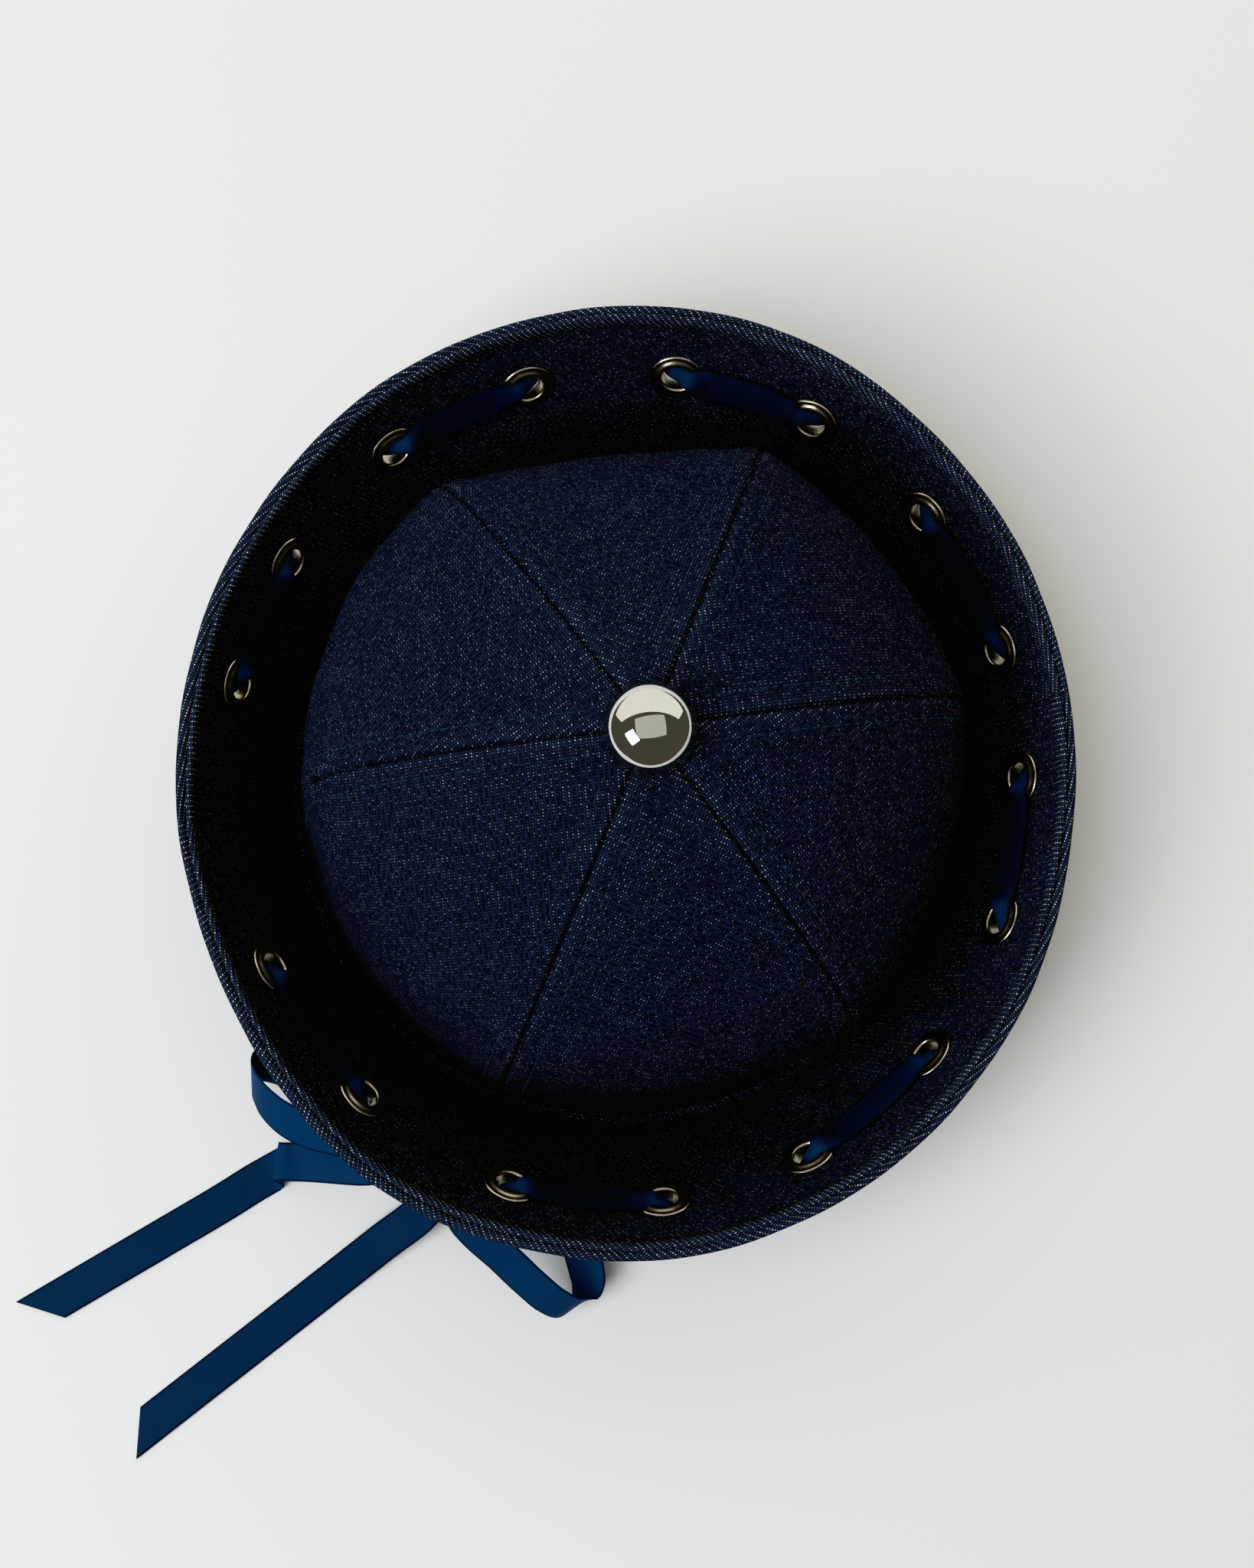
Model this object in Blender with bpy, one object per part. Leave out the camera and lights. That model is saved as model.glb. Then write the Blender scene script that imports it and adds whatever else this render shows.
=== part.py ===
"""Sailor hat in dark denim: a six-panel crown, a turned-up laced brim and a domed button.

The hat stands on its hem. The origin is on the surface that it stands on, under the
middle of the brim, with +Z up, +X towards the right side seam and -Y to the front.
Lengths are in metres, and turns are degrees round the hat, counter-clockwise from +X.
"""

from math import ceil, cos, degrees, exp, hypot, pi, radians, sin, tau

import bmesh
import bpy
from mathutils import Matrix, Vector

# Clearance between pieces that touch
GAP = 0.0003

# Crown
HEAD_RADIUS = 0.0925
CROWN_HEIGHT = 0.1000
CROWN_CLOTH = 0.0015
CROWN_LEAN_RIGHT = 0.0037
CROWN_LEAN_BACK = 0.0071
CROWN_COLUMNS = 8

# Brim
BRIM_HEIGHT = 0.0580
BRIM_CLOTH = 0.0024
RIM_RADIUS = 0.1266
RIM_OVAL = 0.032
RIM_LONG_TURN = 76.5
HEM_DEPTH = 0.0070
HEM_FOLD = 0.0025
SEAM_EASE = 0.0012
BRIM_COLUMNS = 30

# Eyelets
EYELET_UP = 0.655
EYELET_RADIUS = 0.0076
EYELET_BORE = 0.0041
EYELET_BARREL = 0.0046
EYELET_DOME = 0.0011
EYELET_SEAT_INSIDE = 0.0007
EYELET_SEAT_OUTSIDE = 0.0004
EYELET_SIDES = 12

# Domed button
DOME_RADIUS = 0.0128
DOME_STEPS = 8
SHANK_RADIUS = 0.0016
WASHER_RADIUS = 0.0075
WASHER_THICKNESS = 0.0010
TURNED_SIDES = 24

# Ribbon
RIBBON_WIDTH = 0.0110
RIBBON_THICKNESS = 0.0008
RIBBON_STANDOFF = 0.0040
KNOT_TURN = 234.5
KNOT_UP = 0.64
KNOT_LENGTH = 0.0140
KNOT_DEPTH = 0.0100
KNOT_TALL = 0.0120

# The turn of each crown seam, and its reach at the shoulder as a share of the head radius
SEAMS = (
    # turn, reach
    (2.0, 0.995),
    (60.0, 1.005),
    (118.0, 1.000),
    (177.0, 0.972),
    (240.0, 0.985),
    (301.0, 1.020),
)

# How far each panel is drawn in half-way between its seams, as a share of its reach
PANEL_FLATS = (0.035, 0.090, 0.010, 0.030, 0.030, 0.035)

# The crown from the button to the hem
CROWN_SECTIONS = (
    # reach and height as shares of the crown's, and how much the shoulder shape counts
    (0.040, 1.000, 0.0),
    (0.150, 0.998, 0.1),
    (0.330, 0.970, 0.3),
    (0.520, 0.922, 0.5),
    (0.700, 0.858, 0.7),
    (0.850, 0.778, 0.9),
    (0.945, 0.690, 1.0),
    (0.992, 0.590, 1.0),
    (1.000, 0.460, 0.8),
    (1.000, 0.230, 0.4),
    (1.000, 0.000, 0.0),
)

# The brim's outer face above its hem
BRIM_SECTIONS = (
    # height as a share of the brim's, and spread as a share of its flare
    (0.00, 0.000),
    (0.16, 0.125),
    (0.34, 0.310),
    (0.52, 0.500),
    (0.79, 0.785),
    (1.00, 1.000),
)

# Waves in the rim
RIM_WAVES = (
    # turn, half width in degrees, push outward as a share of the rim radius
    (205.0, 20.0, -0.011),
    (231.0, 14.0, 0.009),
    (66.0, 18.0, 0.006),
    (145.0, 20.0, 0.004),
)

# Where the tied ribbon draws the wall of the brim in
TIE_TURN = 218.0
TIE_HALF_WIDTH = 30.0
TIE_DEPTH = 0.0025

# The two halves of the brim and the turns of their eyelets
RIGHT_SEAM = 3.0
LEFT_SEAM = 178.5
FRONT_EYELETS = (200.0, 222.0, 246.0, 267.0, 288.0, 310.0, 332.0, 353.0)
BACK_EYELETS = (12.0, 34.0, 55.0, 75.0, 96.0, 117.0, 139.0, 158.0)

# The ribbon's way through an eyelet, from the inside of the brim to the outside
THREADING = (
    # way along as a share of the eyelet's radius, lift as a share of the stand-off, width share
    (-1.15, 0.95, 0.80),
    (-0.70, 1.02, 0.55),
    (-0.46, 0.82, 0.42),
    (-0.28, 0.42, 0.38),
    (0.28, -0.42, 0.38),
    (0.46, -0.82, 0.42),
    (0.70, -1.02, 0.55),
    (1.15, -0.95, 0.80),
)

# Between two eyelets: where a run starts and ends as a share of the eyelet's radius, its lift as
# a share of the stand-off, and the longest step round the hat in degrees
RUN_START = 1.15
RUN_LIFT = 0.75
RUN_STEP = 12.0

# Beside the knot: the ribbon's lift as a share of the stand-off, and its width share
KNOT_LIFT = 0.70
KNOT_WIDTH = 0.70

# The free ends of the ribbon: their middle line and the bearing and rise of their width
LEFT_TAIL = (
    # x, y, z, bearing in degrees, width share
    (-0.0735, -0.0962, 0.0278, 140.0, 0.60),
    (-0.0790, -0.0966, 0.0205, 122.0, 0.85),
    (-0.0881, -0.0956, 0.0130, 104.0, 1.00),
    (-0.0992, -0.0933, 0.0085, 98.0, 1.00),
    (-0.1067, -0.0919, 0.0062, 98.0, 1.00),
    (-0.1125, -0.0925, 0.0030, 103.0, 1.00),
    (-0.1190, -0.0962, 0.0008, 112.5, 1.00),
    (-0.1268, -0.0997, 0.0008, 112.5, 1.00),
    (-0.1453, -0.1074, 0.0008, 112.5, 1.00),
    (-0.1637, -0.1150, 0.0008, 112.5, 1.00),
    (-0.1835, -0.1232, 0.0008, 112.5, 1.00),
)
RIGHT_TAIL = (
    # x, y, z, bearing in degrees, width share
    (-0.0672, -0.1012, 0.0278, 144.0, 0.60),
    (-0.0688, -0.1062, 0.0175, 138.0, 0.85),
    (-0.0735, -0.1113, 0.0095, 128.0, 1.00),
    (-0.0851, -0.1180, 0.0035, 120.0, 1.00),
    (-0.0971, -0.1250, 0.0012, 120.0, 1.00),
    (-0.1089, -0.1318, 0.0008, 120.0, 1.00),
    (-0.1325, -0.1453, 0.0008, 120.0, 1.00),
    (-0.1604, -0.1613, 0.0008, 120.0, 1.00),
)
LEFT_LOOP = (
    # x, y, z, width share
    (-0.0768, -0.0940, 0.0352, 0.45),
    (-0.0830, -0.0908, 0.0330, 0.85),
    (-0.0928, -0.0863, 0.0290, 1.00),
    (-0.1011, -0.0831, 0.0260, 1.00),
    (-0.1091, -0.0771, 0.0230, 1.00),
    (-0.1133, -0.0711, 0.0200, 1.00),
    (-0.1149, -0.0660, 0.0160, 1.00),
    (-0.1134, -0.0633, 0.0120, 1.00),
    (-0.1101, -0.0647, 0.0105, 1.00),
    (-0.1053, -0.0675, 0.0110, 1.00),
    (-0.1003, -0.0713, 0.0140, 1.00),
    (-0.0904, -0.0817, 0.0210, 1.00),
    (-0.0820, -0.0895, 0.0268, 0.85),
    (-0.0766, -0.0938, 0.0312, 0.45),
)
RIGHT_LOOP = (
    # x, y, z, width share
    (-0.0656, -0.1036, 0.0350, 0.45),
    (-0.0616, -0.1108, 0.0312, 0.85),
    (-0.0585, -0.1173, 0.0260, 1.00),
    (-0.0511, -0.1265, 0.0210, 1.00),
    (-0.0446, -0.1348, 0.0170, 1.00),
    (-0.0394, -0.1405, 0.0140, 1.00),
    (-0.0345, -0.1433, 0.0100, 1.00),
    (-0.0306, -0.1420, 0.0068, 1.00),
    (-0.0287, -0.1380, 0.0060, 1.00),
    (-0.0288, -0.1318, 0.0070, 1.00),
    (-0.0300, -0.1254, 0.0100, 1.00),
    (-0.0345, -0.1190, 0.0145, 1.00),
    (-0.0450, -0.1115, 0.0210, 1.00),
    (-0.0560, -0.1082, 0.0262, 0.85),
    (-0.0652, -0.1036, 0.0312, 0.45),
)
LEFT_LOOP_BEARING = 82.0
LEFT_LOOP_RISE = 0.0
RIGHT_LOOP_BEARING = 27.0
RIGHT_LOOP_RISE = 27.0
LEFT_TAIL_SLANT = 0.0098
RIGHT_TAIL_SLANT = -0.0097

BRIM_BASE_RADIUS = HEAD_RADIUS + SEAM_EASE + BRIM_CLOTH
CROWN_FOOT = BRIM_CLOTH + GAP


def clear_scene():
    for old in list(bpy.data.objects):
        bpy.data.objects.remove(old, do_unlink=True)


def make_material(name, colour, roughness, metallic=0.0):
    material = bpy.data.materials.new(name)
    material.use_nodes = True
    shader = material.node_tree.nodes["Principled BSDF"]
    shader.inputs["Base Color"].default_value = (*colour, 1.0)
    shader.inputs["Roughness"].default_value = roughness
    shader.inputs["Metallic"].default_value = metallic
    return material


def add_object(name, mesh, material):
    body = bpy.data.objects.new(name, mesh)
    bpy.context.scene.collection.objects.link(body)
    if not mesh.materials:
        mesh.materials.append(material)
    return body


def mesh_from(name, bm):
    """Turns a closed bmesh into a mesh whose faces point outward and are shaded smooth."""
    bmesh.ops.recalc_face_normals(bm, faces=bm.faces)
    mesh = bpy.data.meshes.new(name)
    bm.to_mesh(mesh)
    bm.free()
    mesh.shade_smooth()
    mesh.set_sharp_from_angle(angle=radians(35))
    return mesh


def closed_sheet(name, front, back):
    """A solid between two grids of points: front and back hold as many rows of as many points."""
    bm = bmesh.new()
    sides = [[[bm.verts.new(p) for p in row] for row in grid] for grid in (front, back)]
    rows = len(front)
    columns = len(front[0])
    for side in sides:
        for i in range(rows - 1):
            for j in range(columns - 1):
                bm.faces.new((side[i][j], side[i][j + 1], side[i + 1][j + 1], side[i + 1][j]))
    edge = [(0, j) for j in range(columns)]
    edge += [(i, columns - 1) for i in range(1, rows)]
    edge += [(rows - 1, j) for j in range(columns - 2, -1, -1)]
    edge += [(i, 0) for i in range(rows - 2, 0, -1)]
    for (i, j), (k, m) in zip(edge, edge[1:] + edge[:1]):
        bm.faces.new((sides[0][i][j], sides[0][k][m], sides[1][k][m], sides[1][i][j]))
    return mesh_from(name, bm)


def turned(name, outline, sides):
    """A solid turned about Z from a closed outline of (radius, height) points."""
    bm = bmesh.new()
    points = [bm.verts.new((radius, 0.0, height)) for radius, height in outline]
    edges = [bm.edges.new(pair) for pair in zip(points, points[1:] + points[:1])]
    bmesh.ops.spin(
        bm,
        geom=points + edges,
        cent=(0.0, 0.0, 0.0),
        axis=(0.0, 0.0, 1.0),
        dvec=(0.0, 0.0, 0.0),
        angle=tau,
        steps=sides,
        use_merge=True,
    )
    bmesh.ops.remove_doubles(bm, verts=bm.verts, dist=0.000002)
    loose = [edge for edge in bm.edges if not edge.link_faces]
    bmesh.ops.delete(bm, geom=loose, context="EDGES")
    return mesh_from(name, bm)


def offset_line(line, distance):
    """A line of (radius, height) points moved to its left, with mitred corners."""
    normals = []
    for (r0, z0), (r1, z1) in zip(line, line[1:]):
        length = hypot(r1 - r0, z1 - z0)
        normals.append(((z0 - z1) / length, (r1 - r0) / length))
    moved = []
    for i, (r, z) in enumerate(line):
        before = normals[max(i - 1, 0)]
        after = normals[min(i, len(normals) - 1)]
        mitre = distance / (1.0 + before[0] * after[0] + before[1] * after[1])
        moved.append((r + (before[0] + after[0]) * mitre, z + (before[1] + after[1]) * mitre))
    return moved


def table_value(table, x):
    """Reads a table of (x, y) rows, straight from row to row."""
    for (x0, y0), (x1, y1) in zip(table, table[1:]):
        if x <= x1:
            return y0 + (y1 - y0) * (x - x0) / (x1 - x0)
    return table[-1][1]


def swell(turn, middle, half_width):
    """A smooth hump round the hat: 1 at its middle, fading over its half width."""
    away = (turn - middle + 180.0) % 360.0 - 180.0
    return exp(-((away / half_width) ** 2))


def around(turn, radius, height):
    return Vector((radius * cos(radians(turn)), radius * sin(radians(turn)), height))


def along(turn):
    return Vector((-sin(radians(turn)), cos(radians(turn)), 0.0))


# Crown


def crown_line(panel, share):
    """The crown's outer face from button to hem, at a share of the way across a panel."""
    reach = SEAMS[panel][1] + (SEAMS[(panel + 1) % 6][1] - SEAMS[panel][1]) * share
    reach *= 1.0 - PANEL_FLATS[panel] * 4.0 * share * (1.0 - share)
    tall = CROWN_HEIGHT - CROWN_FOOT
    line = []
    for out, up, shape in CROWN_SECTIONS:
        line.append((HEAD_RADIUS * out * (1.0 + (reach - 1.0) * shape), CROWN_FOOT + tall * up))
    return line


def crown_panel(panel):
    first = SEAMS[panel][0]
    sweep = (SEAMS[(panel + 1) % 6][0] - first) % 360.0
    outside = []
    inside = []
    for column in range(CROWN_COLUMNS + 1):
        share = column / CROWN_COLUMNS
        turn = first + sweep * share
        side = (column == 0) - (column == CROWN_COLUMNS)
        shift = along(turn) * (side * GAP / 2.0)
        line = crown_line(panel, share)
        for grid, profile in ((outside, line), (inside, offset_line(line, -CROWN_CLOTH))):
            points = []
            for (radius, height), (_, up, _) in zip(profile, CROWN_SECTIONS):
                lean = Vector((CROWN_LEAN_RIGHT, CROWN_LEAN_BACK, 0.0)) * up
                points.append(around(turn, radius, height) + lean + shift)
            grid.append(points)
    return closed_sheet(f"crown_panel_{panel + 1}", outside, inside)


# Brim


def rim_radius(turn):
    share = 1.0 + RIM_OVAL * cos(2.0 * radians(turn - RIM_LONG_TURN))
    for middle, half_width, push in RIM_WAVES:
        share += push * swell(turn, middle, half_width)
    return RIM_RADIUS * share


def brim_radius(turn, up):
    """The radius of the brim's outer face at a share of its height."""
    flare = rim_radius(turn) - BRIM_BASE_RADIUS
    drawn_in = TIE_DEPTH * swell(turn, TIE_TURN, TIE_HALF_WIDTH) * sin(pi * up) ** 2
    return BRIM_BASE_RADIUS + flare * table_value(BRIM_SECTIONS, up) - drawn_in


def brim_line(turn):
    """The brim's outer face from the hem's inner edge, round the fold and up to the rim."""
    line = [
        (BRIM_BASE_RADIUS - HEM_DEPTH, 0.0),
        (BRIM_BASE_RADIUS - HEM_FOLD, 0.0),
        (BRIM_BASE_RADIUS - HEM_FOLD * 0.25, HEM_FOLD * 0.3),
    ]
    for up, _ in BRIM_SECTIONS:
        height = HEM_FOLD + (BRIM_HEIGHT - HEM_FOLD) * up
        line.append((brim_radius(turn, height / BRIM_HEIGHT), height))
    return line


def brim_half(name, first, last):
    outside = []
    inside = []
    for column in range(BRIM_COLUMNS + 1):
        turn = first + (last - first) * column / BRIM_COLUMNS
        side = (column == 0) - (column == BRIM_COLUMNS)
        shift = along(turn) * (side * GAP / 2.0)
        line = brim_line(turn)
        outside.append([around(turn, r, z) + shift for r, z in line])
        inside.append([around(turn, r, z) + shift for r, z in offset_line(line, BRIM_CLOTH)])
    return closed_sheet(name, outside, inside)


def brim_place(turn, up, lift=0.0):
    """A place on the middle of the brim's cloth, lifted to the inside, with its axes.

    The axes are the way along the brim, up its slope, and to the inside.
    """
    step = 0.5
    here = around(turn, brim_radius(turn, up), up * BRIM_HEIGHT)
    left = around(turn - step, brim_radius(turn - step, up), up * BRIM_HEIGHT)
    right = around(turn + step, brim_radius(turn + step, up), up * BRIM_HEIGHT)
    below = around(turn, brim_radius(turn, up - 0.05), (up - 0.05) * BRIM_HEIGHT)
    above = around(turn, brim_radius(turn, up + 0.05), (up + 0.05) * BRIM_HEIGHT)
    way = (right - left).normalized()
    inward = (above - below).cross(way).normalized()
    slope = way.cross(inward).normalized()
    return here + inward * (BRIM_CLOTH / 2.0 + lift), way, slope, inward


def punches(name, turns):
    """The round cutters that make the eyelet holes in one half of the brim."""
    bm = bmesh.new()
    for turn in turns:
        centre, way, slope, inward = brim_place(turn, EYELET_UP)
        axes = Matrix((way, -slope, inward)).transposed().to_4x4()
        bmesh.ops.create_cone(
            bm,
            cap_ends=True,
            segments=EYELET_SIDES,
            radius1=EYELET_BARREL + GAP * 1.5,
            radius2=EYELET_BARREL + GAP * 1.5,
            depth=BRIM_CLOTH * 5.0,
            matrix=Matrix.Translation(centre) @ axes,
        )
    return mesh_from(name, bm)


# Eyelets


def eyelet_mesh():
    """A rolled eyelet: a domed ring inside the brim, a barrel and a flatter ring outside."""
    inner = BRIM_CLOTH / 2.0 + EYELET_SEAT_INSIDE
    outer = -BRIM_CLOTH / 2.0 - EYELET_SEAT_OUTSIDE
    middle = (EYELET_BORE + EYELET_RADIUS) / 2.0
    outline = (
        (EYELET_BORE, inner + EYELET_DOME * 0.3),
        (EYELET_BARREL, inner + EYELET_DOME * 0.8),
        (middle, inner + EYELET_DOME),
        (EYELET_RADIUS * 0.9, inner + EYELET_DOME * 0.7),
        (EYELET_RADIUS, inner),
        (EYELET_BARREL, inner),
        (EYELET_BARREL, outer),
        (EYELET_RADIUS * 0.95, outer),
        (middle, outer - EYELET_DOME * 0.8),
        (EYELET_BORE, outer - EYELET_DOME * 0.3),
    )
    return turned("eyelet", outline, EYELET_SIDES)


# Button


def dome_mesh():
    """The half ball with its shank and the washer that holds it inside the crown."""
    outline = []
    for step in range(DOME_STEPS + 1):
        angle = pi / 2.0 * step / DOME_STEPS
        outline.append((DOME_RADIUS * sin(angle), DOME_RADIUS * cos(angle)))
    washer_top = -GAP - CROWN_CLOTH - GAP
    outline += [
        (SHANK_RADIUS, 0.0),
        (SHANK_RADIUS, washer_top),
        (WASHER_RADIUS, washer_top),
        (WASHER_RADIUS, washer_top - WASHER_THICKNESS),
        (0.0, washer_top - WASHER_THICKNESS),
    ]
    return turned("dome_stud", outline, TURNED_SIDES)


# Ribbon


def strip(name, stations):
    """A flat ribbon through stations of (centre, direction across the ribbon, width)."""
    front = []
    back = []
    for i, (centre, across, width) in enumerate(stations):
        before = stations[max(i - 1, 0)][0]
        after = stations[min(i + 1, len(stations) - 1)][0]
        face = (after - before).cross(across).normalized() * (RIBBON_THICKNESS / 2.0)
        half = across * (width / 2.0)
        front.append([centre - half + face, centre + half + face])
        back.append([centre - half - face, centre + half - face])
    return closed_sheet(name, front, back)


def lacing_turns():
    """The eyelets in the order that the ribbon takes, from the knot right round the brim."""
    order = FRONT_EYELETS[2:] + BACK_EYELETS + FRONT_EYELETS[:2]
    turns = [order[0]]
    for turn in order[1:]:
        turns.append(turns[-1] + (turn - turns[-1]) % 360.0)
    return turns


def lacing_stations():
    stations = []

    def add(turn, lift, width):
        centre, _, slope, _ = brim_place(turn, EYELET_UP, lift)
        stations.append((centre, slope, width))

    def run(first, last, lift):
        """The stretch between two eyelets, drawn close to the cloth."""
        steps = max(ceil((last - first) / RUN_STEP), 2)
        for step in range(1, steps):
            add(first + (last - first) * step / steps, lift, RIBBON_WIDTH)

    turns = lacing_turns()
    knot_side = degrees((KNOT_LENGTH / 2.0 + GAP * 2.0) / brim_radius(KNOT_TURN, EYELET_UP))
    near_eyelet = degrees(EYELET_RADIUS / brim_radius(KNOT_TURN, EYELET_UP))
    side = -1.0
    add(KNOT_TURN + knot_side, side * KNOT_LIFT * RIBBON_STANDOFF, KNOT_WIDTH * RIBBON_WIDTH)
    for i, turn in enumerate(turns):
        degrees_per_metre = degrees(1.0 / brim_radius(turn, EYELET_UP))
        for way, lift, width in THREADING:
            place = turn + way * EYELET_RADIUS * degrees_per_metre
            add(place, side * lift * RIBBON_STANDOFF, width * RIBBON_WIDTH)
        side = -side
        if i + 1 < len(turns):
            first = turn + near_eyelet * RUN_START
            last = turns[i + 1] - near_eyelet * RUN_START
            run(first, last, side * RUN_LIFT * RIBBON_STANDOFF)
    add(KNOT_TURN + 360.0 - knot_side, side * KNOT_LIFT * RIBBON_STANDOFF, KNOT_WIDTH * RIBBON_WIDTH)
    return stations


def knot_place():
    """The knot's centre, against the outside of the brim, with its axes."""
    stand_off = BRIM_CLOTH / 2.0 + GAP * 2.0 + KNOT_DEPTH / 2.0
    return brim_place(KNOT_TURN, KNOT_UP, -stand_off)


def knot_mesh():
    bm = bmesh.new()
    bmesh.ops.create_uvsphere(bm, u_segments=12, v_segments=8, radius=0.5)
    bmesh.ops.scale(bm, vec=(KNOT_LENGTH, KNOT_TALL, KNOT_DEPTH), verts=bm.verts)
    return mesh_from("bow_knot", bm)


def loop_stations(points, bearing, rise):
    """A loop whose width keeps one direction, so that it bends as flat ribbon does."""
    across = around(bearing, cos(radians(rise)), sin(radians(rise)))
    return [(Vector((x, y, z)), across, RIBBON_WIDTH * width) for x, y, z, width in points]


def tail_stations(points, slant):
    """A tail with a slanted cut: one edge of its end runs on by the slant."""
    stations = []
    for x, y, z, bearing, width in points:
        stations.append((Vector((x, y, z)), around(bearing, 1.0, 0.0), RIBBON_WIDTH * width))
    end, across, width = stations[-1]
    way = (end - stations[-2][0]).normalized()
    cut = across * width + way * slant
    stations[-1] = (end, cut.normalized(), cut.length)
    return stations


def place(body, centre, way, slope, inward):
    body.location = centre
    body.rotation_euler = Matrix((-way, slope, inward)).transposed().to_euler()


def build():
    clear_scene()
    denim = make_material("denim", (0.022, 0.036, 0.085), 0.85)
    nickel = make_material("nickel", (0.62, 0.60, 0.56), 0.25, 1.0)
    chrome = make_material("chrome", (0.80, 0.80, 0.80), 0.05, 1.0)
    ribbon = make_material("ribbon", (0.004, 0.055, 0.160), 0.45)

    for panel in range(6):
        mesh = crown_panel(panel)
        add_object(mesh.name, mesh, denim)

    halves = (
        ("brim_front", LEFT_SEAM, RIGHT_SEAM + 360.0, FRONT_EYELETS),
        ("brim_back", RIGHT_SEAM, LEFT_SEAM, BACK_EYELETS),
    )
    for name, first, last, turns in halves:
        brim = add_object(name, brim_half(name, first, last), denim)
        cutter = add_object(f"{name}_punches", punches(f"{name}_punches", turns), denim)
        cutter.hide_render = True
        cutter.display_type = "WIRE"
        holes = brim.modifiers.new("eyelet holes", "BOOLEAN")
        holes.operation = "DIFFERENCE"
        holes.object = cutter

    eyelet = eyelet_mesh()
    for number, turn in enumerate(lacing_turns(), start=1):
        body = add_object(f"eyelet_{number:02d}", eyelet, nickel)
        place(body, *brim_place(turn, EYELET_UP))

    dome = add_object("dome_stud", dome_mesh(), chrome)
    dome.location = (CROWN_LEAN_RIGHT, CROWN_LEAN_BACK, CROWN_HEIGHT + GAP)

    add_object("ribbon_lacing", strip("ribbon_lacing", lacing_stations()), ribbon)
    knot = add_object("bow_knot", knot_mesh(), ribbon)
    place(knot, *knot_place())
    loops = (
        ("bow_loop_left", LEFT_LOOP, LEFT_LOOP_BEARING, LEFT_LOOP_RISE),
        ("bow_loop_right", RIGHT_LOOP, RIGHT_LOOP_BEARING, RIGHT_LOOP_RISE),
    )
    for name, points, bearing, rise in loops:
        add_object(name, strip(name, loop_stations(points, bearing, rise)), ribbon)
    tails = (
        ("bow_tail_left", LEFT_TAIL, LEFT_TAIL_SLANT),
        ("bow_tail_right", RIGHT_TAIL, RIGHT_TAIL_SLANT),
    )
    for name, points, slant in tails:
        add_object(name, strip(name, tail_stations(points, slant)), ribbon)


build()
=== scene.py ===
"""Looks for the denim sailor hat: cloth, eyelets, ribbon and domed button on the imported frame.

Everything is in metres in the hat's own frame: the origin is on the surface that it stands
on, +Z is up, +X goes to the right side seam and -Y to the front. Turns are degrees round the
hat, counter-clockwise from +X.
"""

from math import ceil, cos, degrees, pi, radians, sin, tau

import bmesh
import bpy
import numpy as np
from mathutils import Matrix, Vector


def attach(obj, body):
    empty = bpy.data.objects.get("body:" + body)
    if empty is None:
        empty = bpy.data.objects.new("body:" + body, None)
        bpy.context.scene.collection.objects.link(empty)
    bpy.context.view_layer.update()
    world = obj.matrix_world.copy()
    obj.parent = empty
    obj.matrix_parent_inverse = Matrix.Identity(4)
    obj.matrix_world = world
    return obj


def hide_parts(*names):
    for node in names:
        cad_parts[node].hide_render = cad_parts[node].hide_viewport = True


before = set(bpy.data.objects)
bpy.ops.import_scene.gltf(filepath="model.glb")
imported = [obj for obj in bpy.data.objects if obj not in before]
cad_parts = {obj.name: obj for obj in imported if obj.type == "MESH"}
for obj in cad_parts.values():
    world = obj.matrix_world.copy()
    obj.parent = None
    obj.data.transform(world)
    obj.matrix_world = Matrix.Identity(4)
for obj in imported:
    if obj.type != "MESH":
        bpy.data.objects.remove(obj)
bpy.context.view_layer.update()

# Camera: where it stands, what is in the middle of the picture, and which way is up in it
CAMERA_PLACE = (-0.0505, -0.0741, 0.8000)
CAMERA_AIM = (0.0027, 0.0033, 0.0)
CAMERA_UP = (0.139, 0.990, 0.0)
CAMERA_LENS = 63.09
CAMERA_SENSOR = 36.0

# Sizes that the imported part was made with; its pieces leave a small gap between them
GAP = 0.0003
HEAD_RADIUS = 0.0925
CROWN_HEIGHT = 0.1000
CROWN_CLOTH = 0.0015
CROWN_LEAN = (0.0037, 0.0071)
BRIM_HEIGHT = 0.0580
BRIM_CLOTH = 0.0024
RIM_RADIUS = 0.1266
RIM_OVAL = 0.032
RIM_LONG_TURN = 76.5
HEM_DEPTH = 0.0070
HEM_FOLD = 0.0025
HEAD_TO_BRIM = 0.0012
BRIM_BASE_RADIUS = HEAD_RADIUS + HEAD_TO_BRIM + BRIM_CLOTH
CROWN_FOOT = BRIM_CLOTH + GAP

# Eyelets: their height as a share of the brim's, and their radii
EYELET_UP = 0.655
EYELET_RADIUS = 0.0076
EYELET_BORE = 0.0041
EYELET_BARREL = 0.0046

# Button, with its hidden shank and washer
DOME_RADIUS = 0.0128
SHANK_RADIUS = 0.0016
WASHER_RADIUS = 0.0075
WASHER_THICKNESS = 0.0010

# Ribbon: its width, and how far it stands off the cloth at most
RIBBON_WIDTH = 0.0110
RIBBON_STANDOFF = 0.0040

# Knot: its turn, its height as a share of the brim's, and its size along, out and up
KNOT_TURN = 234.5
KNOT_UP = 0.64
KNOT_LENGTH = 0.0140
KNOT_DEPTH = 0.0100
KNOT_TALL = 0.0120

# A run between eyelets: start in eyelet radii, lift in standoffs, step in degrees, tilt in radians
RUN_START = 1.15
RUN_LIFT = 0.75
RUN_STEP = 12.0
RUN_TILT = 0.07

# Where the lacing meets the knot: lift in standoffs, and width share
KNOT_LIFT = 0.70
KNOT_WIDTH = 0.70

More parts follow.
